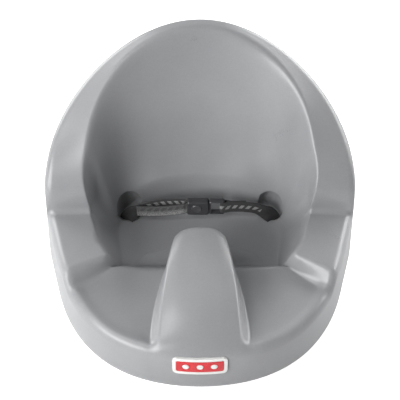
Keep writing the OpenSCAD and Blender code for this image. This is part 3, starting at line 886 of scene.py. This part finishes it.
    def columns(self) -> list[RimColumn]:
        """The columns from the middle of the front to the middle of the back, along the rim."""
        s, f = self.sizes, self.fine
        out = [RimColumn(a, s.arm_z, True)
               for low, high, n in ((0, 11, 5), (11, 21, 11), (21, 55, 9), (55, 60, 9), (60, ARC_END, 3))
               for a in steps(low, high, n * f)]
        out += [RimColumn(a, s.arm_z, False)
                for a in steps(ARC_END, self.angle_at(self.step_foot_y), 2 * f)]
        for turn in steps(0, s.arm_step_turn, 4 * f):
            y = self.step_foot_y + s.arm_step_r * math.sin(turn)
            out.append(RimColumn(self.angle_at(y), s.arm_z + s.arm_step_r * (1 - math.cos(turn)), False))
        for t in steps(0, 1, 9 * f):
            y, z = bezier(self.step_face, t)
            out.append(RimColumn(self.angle_at(y), z, False))
        for a in steps(self.angle_at(self.back_rail[0][0]), 180, 12 * f):
            out.append(RimColumn(a, bezier_at(self.back_rail, self.outline(a)[1]), False))
        return out + [RimColumn(180, s.back_z, False)]

    def _rim_edge(self, h: float, w: float) -> float:
        """The rounded outer edge of the rim."""
        return h - self.sizes.rim_fall + self.sizes.rim_fall * dome(w / self.sizes.rim_round)

    def _lip_height(self, w: float, brink: float, top: float) -> float:
        """The low lip, the floor of a leg channel behind it and its edge above the pan."""
        s = self.sizes
        edge = self._rim_edge(top, w)
        shelf = mix(edge, min(edge, top - s.lip_drop), ramp(w, s.lip_dips))
        return mix(shelf, self.pan_edge_z, ease((w - brink) / s.shelf_run))

    def _pommel_height(self, w: float, reach: float, angle: float) -> float:
        """The pommel between the legs, from its nose to its rear face."""
        s = self.sizes
        crown = s.pommel_crown * (angle / s.crown_angle) ** 2 * ramp(w, s.crown_run)
        crest = mix(s.pommel_nose_z, s.pommel_z, dome(w / (reach - s.pommel_rear))) - crown
        return mix(crest, self.pan_edge_z, ease((w - reach + s.pommel_rear) / s.pommel_rear))

    def _bucket_height(self, w: float, reach: float, column: RimColumn, rim_w: float) -> float:
        """The rim, the inner wall and the lumbar ridge.

        Args:
            w: the place along the column, in from the outer wall.
            reach: its whole length.
            column: the column.
            rim_w: the width of its rim.

        Returns:
            The height there, where the wall runs on unbroken below the arm's step.
        """
        s, h, angle = self.sizes, column.height, column.angle
        if w < s.rim_round:
            return self._rim_edge(h, w)
        foot = (reach, self.pan_foot_z)
        wall = line_height(w, (rim_w, h), foot)
        if angle > s.arm_step_from:
            ledge = s.arm_w + s.ledge_w + s.ledge_flare * max(angle - s.ledge_flare_from, 0)
            face = s.arm_z + (ledge - w) / s.ledge_draft
            face = smooth_max(line_height(w, (ledge, s.arm_z), foot), face, s.ledge_foot_r)
            wall = mix(face, wall, ramp(angle, s.ledge_ends))
        plain = smooth_min(h, wall, s.bucket_r)
        ridge = (reach - s.lumbar_in, s.lumbar_z)
        knee = (ridge[0] - s.knee[0], s.lumbar_z + s.knee[1])
        upper = line_height(w, (rim_w, h), knee) if h > knee[1] + s.knee_room else -math.inf
        above = smooth_min(h, smooth_max(upper, line_height(w, knee, ridge), s.bucket_r), s.bucket_r)
        below = ridge[1] - (w - ridge[0]) * s.lumbar_fall
        backed = mix(plain, smooth_min(above, below, s.lumbar_r), ramp(angle, s.lumbar_starts))
        return smooth_max(backed, self.pan_foot_z, s.pan_edge_r)

    def _widths(self, a: float, b: float, reach: float) -> list[float]:
        """Where a column is sampled, from the outer wall in, with a change of step at a and at b."""
        n, rim = self.fine_in, self.sizes.rim_round
        return (quarter_steps(rim, 6 * n) + steps(rim, a, 3 * n) + steps(a, b, 10 * n)
                + steps(b, reach, 6 * n) + [reach])

    def ring(self, column: RimColumn) -> list[Point]:
        """The points of one column, from the underside up the wall, over the rim and down to the pan.

        Args:
            column: the column.

        Returns:
            Its points in mm, as many for every column.
        """
        s, angle = self.sizes, column.angle
        rim_w, outer = self.station(1, angle), self.outline(angle)
        inner = (self.station(2, angle), s.widest_y + self.station(3, angle))
        reach = math.dist(outer, inner)
        lip_top = s.lip_z + s.lip_climb * ramp(angle, s.lip_climbs)
        shelf_y = s.widest_y - s.shelf_reach - s.shelf_run / 2
        brink = min(reach * (shelf_y - outer[1]) / max(inner[1] - outer[1], 1), reach - s.shelf_run)
        bucket = ramp(angle, s.bucket_starts)
        pommel = 1 - ramp(angle, s.pommel_ends)
        swell = 4 * s.pommel_swell * ramp(angle, s.swell_starts) * (1 - ramp(angle, s.swell_ends))
        share = ramp(angle, self.rows_turn) if column.front else 1.0
        widths = [mix(a, b, share) for a, b in zip(
            self._widths(self.front_break[0], reach - self.front_break[1], reach),
            self._widths(rim_w + self.bucket_break[0], reach - self.bucket_break[1], reach))]
        heights = []
        for w in widths:
            front = mix(self._lip_height(w, brink, lip_top), self._pommel_height(w, reach, angle), pommel)
            heights.append(mix(front, self._bucket_height(w, reach, column, rim_w), bucket))
        up, bend = heights[0] - s.base_r, 2 + ramp(angle, s.pan_levels)

        def at(w: float, z: float) -> Point:
            """The point at w, swelled at the pommel's side."""
            t = w / reach
            return (mix(outer[0], inner[0], t) + swell * t * (1 - t), mix(outer[1], inner[1], t), z)

        points = [at(s.base_r, z) for z in (-s.spare, -s.spare / 2)]
        points += [at(s.base_r * (1 - math.sin(a)), s.base_r * (1 - math.cos(a)))
                   for a in (math.pi / 2 * i / self.base_rows for i in range(self.base_rows + 1))]
        points += [at(s.wall_draft * z, s.base_r + z)
                   for z in (up * i / self.wall_rows for i in range(1, self.wall_rows))]
        points += [at(w + s.wall_draft * up * (1 - w / reach), z) for w, z in zip(widths, heights)]
        points += [(mix(inner[0], 0, t), mix(inner[1], s.widest_y, t),
                    mix(heights[-1], s.pan_z, 1 - (1 - t) ** bend))
                   for t in (i / self.pan_rows for i in range(1, self.pan_rows))]
        return points

    def _softened(self, grid: np.ndarray) -> np.ndarray:
        """Rounds the creases of the grid of rings a little, as a foam skin does."""
        for _ in range(self.soft_rounds):
            near = (np.roll(grid, 1, 0) + np.roll(grid, -1, 0))[:, 1:-1] + grid[:, 2:] + grid[:, :-2]
            grid[:, 1:-1] += 0.5 * (near / 4 - grid[:, 1:-1])
        return grid

    def _pressed(self, grid: np.ndarray) -> np.ndarray:
        """Presses the round belt pockets into the pan and its side."""
        s = self.sizes
        for side in (-1, 1):
            centre = np.array([side * s.pocket[0], s.pocket[1], s.pan_z - s.pocket_depth + s.pocket_r])
            off = grid - centre
            far = np.linalg.norm(off, axis=2)
            h = np.maximum(s.pocket_edge_r - np.abs(far - s.pocket_r), 0) / s.pocket_edge_r
            out = np.maximum(far, s.pocket_r) + h * h * s.pocket_edge_r / 4
            grid = centre + off * (out / np.maximum(far, 1e-6))[:, :, None]
        return grid

    def form(self) -> Piece:
        """The closed form before its slots and hollows are cut."""
        s = self.sizes
        half = [self.ring(c) for c in self.columns()]
        rings = half + [[(-x, y, z) for x, y, z in r] for r in reversed(half[1:-1])]
        grid = self._pressed(self._softened(np.array(rings)))
        n, m = grid.shape[:2]
        faces: list[tuple[int, ...]] = []
        for i in range(n):
            a, b = i * m, (i + 1) % n * m
            faces += [(a + k, a + k + 1, b + k + 1, b + k)[::-1] for k in range(m - 1)]
            faces += [(a + m - 1, b + m - 1, n * m), (b, a, n * m + 1)]
        ends = np.array([[0, s.widest_y, s.pan_z], [0, s.widest_y, -s.spare]])
        return mesh_piece("seat_foam", np.vstack([grid.reshape(-1, 3), ends]), faces)

    def _at_slots(self, name: str, size: Point, corner: float, inwards: float, z: float) -> list[Piece]:
        """The same block at both belt slots, turned with them.

        Args:
            name: the name of the blocks.
            size: their sizes in mm, with y along the slot.
            corner: the radius of their upright edges.
            inwards: how far they stand in from the slot's middle.
            z: the height of their middle.

        Returns:
            The left block and the right one.
        """
        s, blocks = self.sizes, []
        for side in (-1, 1):
            block = place(rounded_block(name, size, corner, 2), (-side * inwards, 0, 0))
            block.data.transform(Matrix.Rotation(side * math.radians(s.slot_turn - 90), 4, "Z"))
            blocks.append(place(block, (side * s.slot[0], s.slot[1], z)))
        return blocks

    def cutters(self, badge_cutter: Piece) -> list[Piece]:
        """The floor, the hollows with the badge's seat, and the belt slots, as three cutters."""
        s = self.sizes
        floor = place(rounded_block("floor_cut", s.floor_cut, 2, 2), (0, 0, -s.floor_cut[2] / 2))
        long, wide, deep = s.hollow_size
        hollows = self._at_slots("hollow_cut", (long, wide, deep + 2 * s.overcut), s.hollow_corner,
                                 s.hollow_in, deep / 2 - s.overcut)
        slots = self._at_slots("slot_cut", (*s.slot_size, s.slot_cut_l), s.slot_corner, 0,
                               s.slot_cut_l / 2 - 2 * s.overcut)
        return [floor, joined(hollows + [badge_cutter], "hollow_cuts"), joined(slots, "slot_cuts")]

    def build(self, badge_cutter: Piece) -> Piece:
        """Makes and dresses the foam body.

        Args:
            badge_cutter: the space that the badge's seat takes out of the front wall.

        Returns:
            The finished piece.
        """
        piece = self.form()
        for cutter in self.cutters(badge_cutter):
            cut_away(piece, cutter)
        # the edge values feed the skin's painted highlight on its convex edges
        mark_edges(piece, 9.0)
        smooth_shade(piece, 40)
        wear(piece, FoamSkin().material())
        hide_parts("foam_body")
        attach(piece, Body.SEAT.value)
        return piece


# ---- belt
RoutePoint = tuple[float, float, float, float, float, float]


@dataclass
class LapBelt:
    """The two straps of the lap belt, swept along the routes of the part's source.

    A point of a route is a place in mm and the direction of the strap's upper edge there.
    """

    width: float = 20.0
    thick: float = 1.2
    slot: Flat = (97.0, 50.734)
    slot_turn: float = 35.0
    belt_y: float = 56.734
    belt_z: float = 58.0
    seam_x: float = 11.5
    socket_l: float = 28.5
    latch_l: float = 21.0
    latch_bar_in: float = 3.7
    socket_bar_in: float = 1.5
    tail_out: float = 7.0
    tail_l: float = 66.0
    return_l: float = 20.0
    fold_r: float = 3.6
    tuck_r: float = 1.2
    tuck_z: float = 15.1
    tuck_l: float = 12.0
    bar_z: float = 12.7
    exit_z: float = 41.0
    turn_run: float = 25.0
    turn_rows: int = 28
    socket_fold_r: float = 1.95
    latch_fold_r: float = 2.25
    step: float = 0.8
    motif: Flat = (20.0, 80.0)

    def _at_slot(self, x: float, z: float) -> RoutePoint:
        """A point under the right slot: x runs across it, outwards and forwards."""
        turn = math.radians(self.slot_turn)
        return (self.slot[0] + x * math.sin(turn), self.slot[1] - x * math.cos(turn), z,
                math.cos(turn), math.sin(turn), 0.0)

    def _lower_route(self) -> list[RoutePoint]:
        """Tucked over the retainer, round its bar and up the slot, on the right side."""
        fold, tuck, top = self.fold_r, self.tuck_r, self.tuck_z
        route = [self._at_slot(-2 * fold - x, top) for x in (self.tuck_l, self.tuck_l - 7)]
        route += [self._at_slot(-2 * fold - tuck + tuck * c, top - tuck + tuck * s) for c, s in arc(90, 0)]
        route += [self._at_slot(-fold + fold * c, self.bar_z + fold * s) for c, s in arc(180, 360)]
        return route + [self._at_slot(0, 20)]

    def _turn_route(self) -> list[RoutePoint]:
        """From the slot up to the belt line, where the strap turns onto its edge."""
        leave = self._at_slot(0, self.exit_z)
        start = (self.slot[0] - self.turn_run, self.belt_y - 2, self.belt_z - 1)
        curve = (leave[:3], (leave[0] - 3, leave[1] + 1, leave[2] + 7),
                 (start[0] + 12, start[1] - 1, start[2] - 5), start)
        out = []
        for t in (i / self.turn_rows for i in range(self.turn_rows + 1)):
            up = [mix(a, b, ease(t)) for a, b in zip(leave[3:], (0.0, 0.0, 1.0))]
            out.append((*bezier(curve, t), *up))
        return out

    def _at_buckle(self, x: float, y: float, z: float) -> RoutePoint:
        """A point from the buckle's seam, with the belt plane at zero."""
        return self.seam_x + x, self.belt_y + y, self.belt_z + z, 0.0, 0.0, 1.0

    def _latch_route(self) -> list[RoutePoint]:
        """Round the bar of the latch and back along the belt to the sewn end."""
        layer, r, reach = self.thick / 2 + 0.1, self.latch_fold_r, self.latch_l
        bar_x = reach - self.latch_bar_in
        side = [(reach + 8, layer), (reach + 4, r * 0.8), (reach + 1, r)]
        out = [self._at_buckle(reach + 22, -layer, 0)]
        out += [self._at_buckle(x, -y, 0) for x, y in side]
        out += [self._at_buckle(bar_x + r * c, r * s, 0) for c, s in arc(270, 90)]
        out += [self._at_buckle(x, y, 0) for x, y in reversed(side)]
        return out + [self._at_buckle(reach + 8 + self.return_l, layer, 0)]

    def _socket_route(self) -> list[RoutePoint]:
        """Round the socket's bar from behind, and the free tail in front."""
        reach, r = self.socket_l, self.socket_fold_r
        bar_x, out_y = self.socket_bar_in - reach, self.tail_out
        tail = ((-reach - 4, -out_y + 3, 0), (-reach - 20, -out_y - 1, 0),
                (-reach - self.tail_l + 20, -out_y - 2, -1.5), (-reach - self.tail_l, -out_y + 1, -2))
        out = [self._at_buckle(-reach - 36, 2.5, 0), self._at_buckle(-reach - 18, 4, 0),
               self._at_buckle(-reach - 6, 4, 0), self._at_buckle(-reach - 1, r + 0.6, 0)]
        out += [self._at_buckle(bar_x + r * c, r * s, 0) for c, s in arc(90, -90)]
        out.append(self._at_buckle(-reach - 1, -r - 0.5, 0))
        return out + [self._at_buckle(*bezier(tail, i / 12)) for i in range(13)]

    def _evenly(self, route: Sequence[RoutePoint]) -> np.ndarray:
        """A smooth curve through the route's points, sampled at even steps.

        Args:
            route: the points.

        Returns:
            Rows of a place and the direction of the upper edge.
        """
        p = np.array(route, float)
        keep = [0] + [i for i in range(1, len(p)) if np.linalg.norm(p[i, :3] - p[i - 1, :3]) > 0.05]
        p = p[keep]
        p = np.vstack([2 * p[0] - p[1], p, 2 * p[-1] - p[-2]])
        out = []
        for i in range(1, len(p) - 2):
            q = p[i - 1:i + 3]
            knots = summed(np.sqrt(np.linalg.norm(np.diff(q[:, :3], axis=0), axis=1)))
            n = max(1, round(np.linalg.norm(q[2, :3] - q[1, :3]) / self.step))
            for t in np.linspace(knots[1], knots[2], n, endpoint=False):
                a = [q[k] + (q[k + 1] - q[k]) * (t - knots[k]) / (knots[k + 1] - knots[k]) for k in range(3)]
                b = [a[k] + (a[k + 1] - a[k]) * (t - knots[k]) / (knots[k + 2] - knots[k]) for k in range(2)]
                out.append(b[0] + (b[1] - b[0]) * (t - knots[1]) / (knots[2] - knots[1]))
        return np.array(out + [p[-2]])

    def _section(self) -> list[tuple[float, float, float]]:
        """The strap's section: across and out in mm, and which face it belongs to."""
        w, h = self.width / 2, self.thick / 2
        flat = [mix(-w + h, w - h, i / 10) for i in range(11)]
        edge = [(math.cos(a), math.sin(a)) for a in np.radians((60, 30, 0, -30, -60))]
        section = [(x, h, 0.0) for x in flat]
        section += [(w - h + h * c, h * s, 0.0 if s > 0 else 1.0) for c, s in edge]
        section += [(x, -h, 1.0) for x in reversed(flat)]
        return section + [(-w + h - h * c, -h * s, 1.0 if s > 0 else 0.0) for c, s in edge]

    def _sweep(self, name: str, route: Sequence[RoutePoint], outer: Face) -> Piece:
        """Sweeps the section along a route.

        Args:
            name: the piece's name.
            route: its points.
            outer: the face that looks out on the strap's left hand.

        Returns:
            The strap as a closed mesh that keeps along, across, reverse and motif.
        """
        path = self._evenly(route)
        section = self._section()
        points, along, across, reverse, motif = [], [], [], [], []
        run = summed(np.linalg.norm(np.diff(path[:, :3], axis=0), axis=1))
        for i, row in enumerate(path):
            ahead = unit(path[min(i + 1, len(path) - 1), :3] - path[max(i - 1, 0), :3])
            up = unit(row[3:] - ahead * row[3:].dot(ahead))
            out = np.cross(ahead, up)
            pinch = 0.7 if i in (0, len(path) - 1) else 1.0
            for x, y, face in section:
                points.append(row[:3] + up * x + out * y * pinch)
                along.append(run[i])
                across.append(x)
                motif.append(1.0 if self.motif[0] < abs(row[0]) < self.motif[1] else 0.0)
                reverse.append(face if outer is Face.OUTER else 1 - face)
        n, m = len(path), len(section)
        faces = [(a + k, a + (k + 1) % m, a + m + (k + 1) % m, a + m + k)
                 for a in range(0, (n - 1) * m, m) for k in range(m)]
        faces += [tuple(reversed(range(m))), tuple((n - 1) * m + k for k in range(m))]
        piece = mesh_piece(name, np.array(points), faces)
        for key, values in (("along", along), ("across", across), ("reverse", reverse), ("motif", motif)):
            write_values(piece, key, np.array(values))
        smooth_shade(piece, 50)
        return piece

    def build_left(self) -> Piece:
        """The strap with the free tail, round the socket's bar."""
        route = [(-x, y, z, -u, v, w) for x, y, z, u, v, w in self._lower_route() + self._turn_route()]
        piece = self._sweep("lap_strap_left", route + self._socket_route(), Face.OUTER)
        # painted light: the left strap gets paler copies of the right strap's webbing tones
        cloth = Webbing("webbing_left", dark=(66, 66, 68), light=(205, 205, 205), bar_lift=3.5)
        wear(piece, cloth.material())
        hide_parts("strap_left")
        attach(piece, Body.SEAT.value)
        return piece

    def build_right(self) -> Piece:
        """The strap that is sewn round the latch's bar."""
        route = self._lower_route() + self._turn_route() + self._latch_route()
        piece = self._sweep("lap_strap_right", route, Face.REVERSE)
        wear(piece, Webbing("webbing_right").material())
        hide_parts("strap_right")
        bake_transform(piece)
        return piece


# ---- badge
@dataclass
class Badge:
    """The plain badge on the front wall: a white plate, a red panel and three round bosses."""

    size: Flat = (66.0, 27.0)
    thick: float = 6.0
    proud: float = 2.5
    border: float = 4.5
    corner: float = 6.0
    panel_deep: float = 0.9
    panel_thick: float = 1.2
    boss_d: float = 8.0
    boss_step: float = 17.0
    lean: float = 5.0
    wall_y: float = -189.066
    centre_z: float = 50.0
    bend_r: float = 186.5
    gap: float = 0.3
    slices: int = 22

    def _bent(self, piece: Piece) -> Piece:
        """Wraps a flat piece round the front wall, leans it back and puts it in its place."""
        r = self.bend_r * MM
        lean = Matrix.Rotation(math.radians(-self.lean), 3, "X")
        for v in piece.data.vertices:
            out = -v.co.y
            side = math.asin(max(-1, min(1, v.co.x / (r + out))))
            bent = lean @ Vector((v.co.x, r - (r + out) * math.cos(side), v.co.z))
            v.co = bent + Vector((0, self.wall_y, self.centre_z)) * MM
        piece.data.update()
        return piece

    def _sliced(self, piece: Piece) -> None:
        """Cuts a flat piece across in even slices, so that it can bend."""
        edit(piece, "FACE")
        for share in steps(-0.5, 0.5, self.slices)[1:]:
            bpy.ops.mesh.select_all(action="SELECT")
            bpy.ops.mesh.bisect(plane_co=(share * self.size[0] * MM, 0, 0), plane_no=(1, 0, 0))
        close_edit()

    def _bosses(self, low: float, high: float, d: float) -> list[Piece]:
        """The three round bosses, which stand forward from one depth to another.

        Args:
            low: the depth of their feet, forward of the wall, in mm.
            high: that of their fronts.
            d: their diameter.

        Returns:
            The bosses, settled.
        """
        bosses = []
        for i in (-1, 0, 1):
            bpy.ops.mesh.primitive_cylinder_add(vertices=48, radius=d / 2 * MM, depth=(high - low) * MM,
                                                location=(i * self.boss_step * MM, -(low + high) / 2 * MM, 0),
                                                rotation=(math.pi / 2, 0, 0))
            settle(bpy.context.object)
            bosses.append(bpy.context.object)
        return bosses

    def cutter(self) -> Piece:
        """The space of the badge's seat in the foam."""
        w, h = self.size
        deep = self.thick - self.proud + self.gap
        block = rounded_block("badge_cut", (w + 2 * self.gap, deep + 12, h + 2 * self.gap),
                              self.corner + self.gap, 1)
        place(block, (0, deep - (deep + 12) / 2, 0))
        self._sliced(block)
        return self._bent(block)

    def build_plate(self) -> Piece:
        """The white plate with its raised border and bosses."""
        w, h = self.size
        plate = rounded_block("badge_frame", (w, self.thick, h), self.corner, 1, 10)
        place(plate, (0, self.thick / 2 - self.proud, 0))
        edit(plate, "FACE")
        select_where(plate, "faces", lambda f: f.normal.y < -0.9)
        bpy.ops.mesh.inset(thickness=self.border * MM)
        bpy.ops.mesh.extrude_region_move(TRANSFORM_OT_translate={"value": (0, self.panel_deep * MM, 0)})
        close_edit()
        self._sliced(plate)
        round_edges(plate, 0.7, 4)
        bosses = self._bosses(self.proud - self.panel_deep - 0.2, self.proud + 0.5, self.boss_d)
        for boss in bosses:
            round_edges(boss, 0.9, 4)
        piece = self._bent(joined([plate] + bosses, "badge_frame"))
        smooth_shade(piece, 30)
        wear(piece, GlossPlastic("badge_white", (232, 232, 230)).material())
        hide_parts("badge_plate")
        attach(piece, Body.SEAT.value)
        return piece

    def build_panel(self) -> Piece:
        """The red panel, with a hole for each boss."""
        w, h = (s - 2 * self.border - self.gap for s in self.size)
        front = self.proud - self.panel_deep + self.panel_thick
        panel = rounded_block("badge_face", (w, self.panel_thick, h), self.corner - 3, 1, 8)
        place(panel, (0, self.panel_thick / 2 - front, 0))
        for hole in self._bosses(front - 3, front + 2, self.boss_d + 0.5):
            cut_away(panel, hole)
        self._sliced(panel)
        round_edges(panel, 0.35, 3)
        piece = self._bent(panel)
        smooth_shade(piece, 30)
        wear(piece, GlossPlastic("badge_red", (205, 28, 38), (0.2, 0.3)).material())
        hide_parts("badge_panel")
        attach(piece, Body.SEAT.value)
        return piece


# ---- spring
@dataclass
class PressSpring:
    """The coil spring behind the release button."""

    axis: Flat = (-4.8, 58.0)
    free_y: float = 54.5
    fixed_y: float = 60.3

    def build(self) -> Piece:
        """A merged copy of the solid coil."""
        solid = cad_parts["button_spring"]
        piece = bpy.data.objects.new("press_spring", solid.data.copy())
        bpy.context.collection.objects.link(piece)
        face_outwards(piece, merge=1e-6)
        smooth_shade(piece, 50)
        wear(piece, SpringWire().material())
        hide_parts("button_spring")
        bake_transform(piece)
        return piece


# ---- kept solids
def dress_solids() -> None:
    """Gives the CAD solids that stay their finishes."""
    buckle = MouldedPlastic("buckle_plastic", (62, 62, 65), shine=(0.3, 0.42)).material()
    button = MouldedPlastic("button_plastic", (76, 76, 79), shine=(0.16, 0.24)).material()
    retainer = MouldedPlastic("retainer_plastic", (62, 62, 64), 0.4).material()
    for node, finish in (("buckle_front_shell", buckle), ("buckle_back_shell", buckle),
                         ("release_button", button), ("buckle_latch", buckle),
                         ("retainer_left", retainer), ("retainer_right", retainer)):
        wear(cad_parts[node], finish)
        log.info("%s: finish %s", node, finish.name)


# ---- studio
@dataclass(frozen=True)
class Softbox:
    """One square lamp with a soft edge."""

    name: str
    place: Point
    size: float
    power: float


@dataclass
class Studio:
    """A plain white floor, soft lamps and the camera at the photograph's angle."""

    aim: Point = (0.0, 0.003, 0.130)
    distance: float = 1.5
    elevation: float = 48.0
    lens: float = 108.8
    sensor: float = 36.0
    ambient: float = 0.15
    floor_size: float = 12.0
    floor_colour: Colour = (0.86, 0.86, 0.86, 1.0)
    floor_glow: float = 0.80
    sheen: float = 0.15
    lamps: tuple[Softbox, ...] = (
        Softbox("key_lamp", (-1.53, -1.40, 0.90), 1.4, 54),
        Softbox("high_lamp", (-1.07, -0.38, 2.00), 0.7, 11),
        Softbox("left_rim_lamp", (-1.52, 1.35, 0.87), 1.2, 34),
        Softbox("right_rim_lamp", (1.33, 1.58, 0.87), 1.2, 38),
        Softbox("right_side_lamp", (1.95, 0.62, 0.90), 1.2, 28),
    )

    def build_floor(self) -> None:
        """The floor, which shows white to the camera and keeps the seat's shadow."""
        bpy.ops.mesh.primitive_plane_add(size=self.floor_size)
        floor = bpy.context.object
        floor.name = "studio_floor"
        m = Layers(bpy.data.materials.new("floor_white"), "AddShader")
        diffuse, glow = m.add("BsdfDiffuse"), m.add("Emission")
        diffuse.inputs["Color"].default_value = self.floor_colour
        m.link(m.times(m.seen_white(self.sheen), self.floor_glow), glow.inputs["Strength"])
        m.link(diffuse.outputs[0], m.shader.inputs[0])
        m.link(glow.outputs[0], m.shader.inputs[1])
        wear(floor, m.owner)

    def build_world(self) -> None:
        """Even light from all round, and white where the camera sees past the floor."""
        world = bpy.data.worlds.new("studio_world")
        bpy.context.scene.world = world
        m = Layers(world, "Background", "World")
        m.finish(Strength=m.spread(m.seen_white(self.sheen), (0, 1), (self.ambient, 1.0)))

    def build_lamps(self) -> None:
        """The soft lamps, each turned to the seat."""
        for box in self.lamps:
            data = bpy.data.lights.new(box.name, "AREA")
            data.energy, data.size = box.power, box.size
            lamp = bpy.data.objects.new(box.name, data)
            lamp.location = box.place
            aim = Vector(self.aim) - Vector(box.place)
            lamp.rotation_euler = aim.to_track_quat("-Z", "Y").to_euler()
            bpy.context.collection.objects.link(lamp)

    def build_camera(self) -> None:
        """The camera, level from side to side and looking down at the seat."""
        data = bpy.data.cameras.new("photo_camera")
        data.lens, data.sensor_width, data.sensor_fit = self.lens, self.sensor, "HORIZONTAL"
        camera = bpy.data.objects.new("photo_camera", data)
        tilt = math.radians(self.elevation)
        ahead = Vector((0, math.cos(tilt), -math.sin(tilt)))
        camera.location = Vector(self.aim) - ahead * self.distance
        camera.rotation_euler = (math.pi / 2 - tilt, 0, 0)
        bpy.context.collection.objects.link(camera)
        bpy.context.scene.camera = camera

    def build(self) -> None:
        """Sets up the whole studio."""
        self.build_floor()
        self.build_world()
        self.build_lamps()
        self.build_camera()
        bpy.context.scene.view_settings.view_transform = "Standard"


def report(pieces: Sequence[Piece]) -> None:
    """Logs each finished piece with its count of triangles."""
    for piece in pieces:
        count = sum(len(p.vertices) - 2 for p in piece.data.polygons)
        log.info("%s: %d triangles", piece.name, count)


def main() -> None:
    """Builds every piece in order, then the studio."""
    logging.basicConfig(level=logging.INFO, format="%(message)s")
    Studio().build()
    badge, belt = Badge(), LapBelt()
    report([
        FoamSeat().build(badge.cutter()),
        belt.build_left(),
        belt.build_right(),
        PressSpring().build(),
        badge.build_plate(),
        badge.build_panel(),
    ])
    dress_solids()


if __name__ == "__main__":
    main()
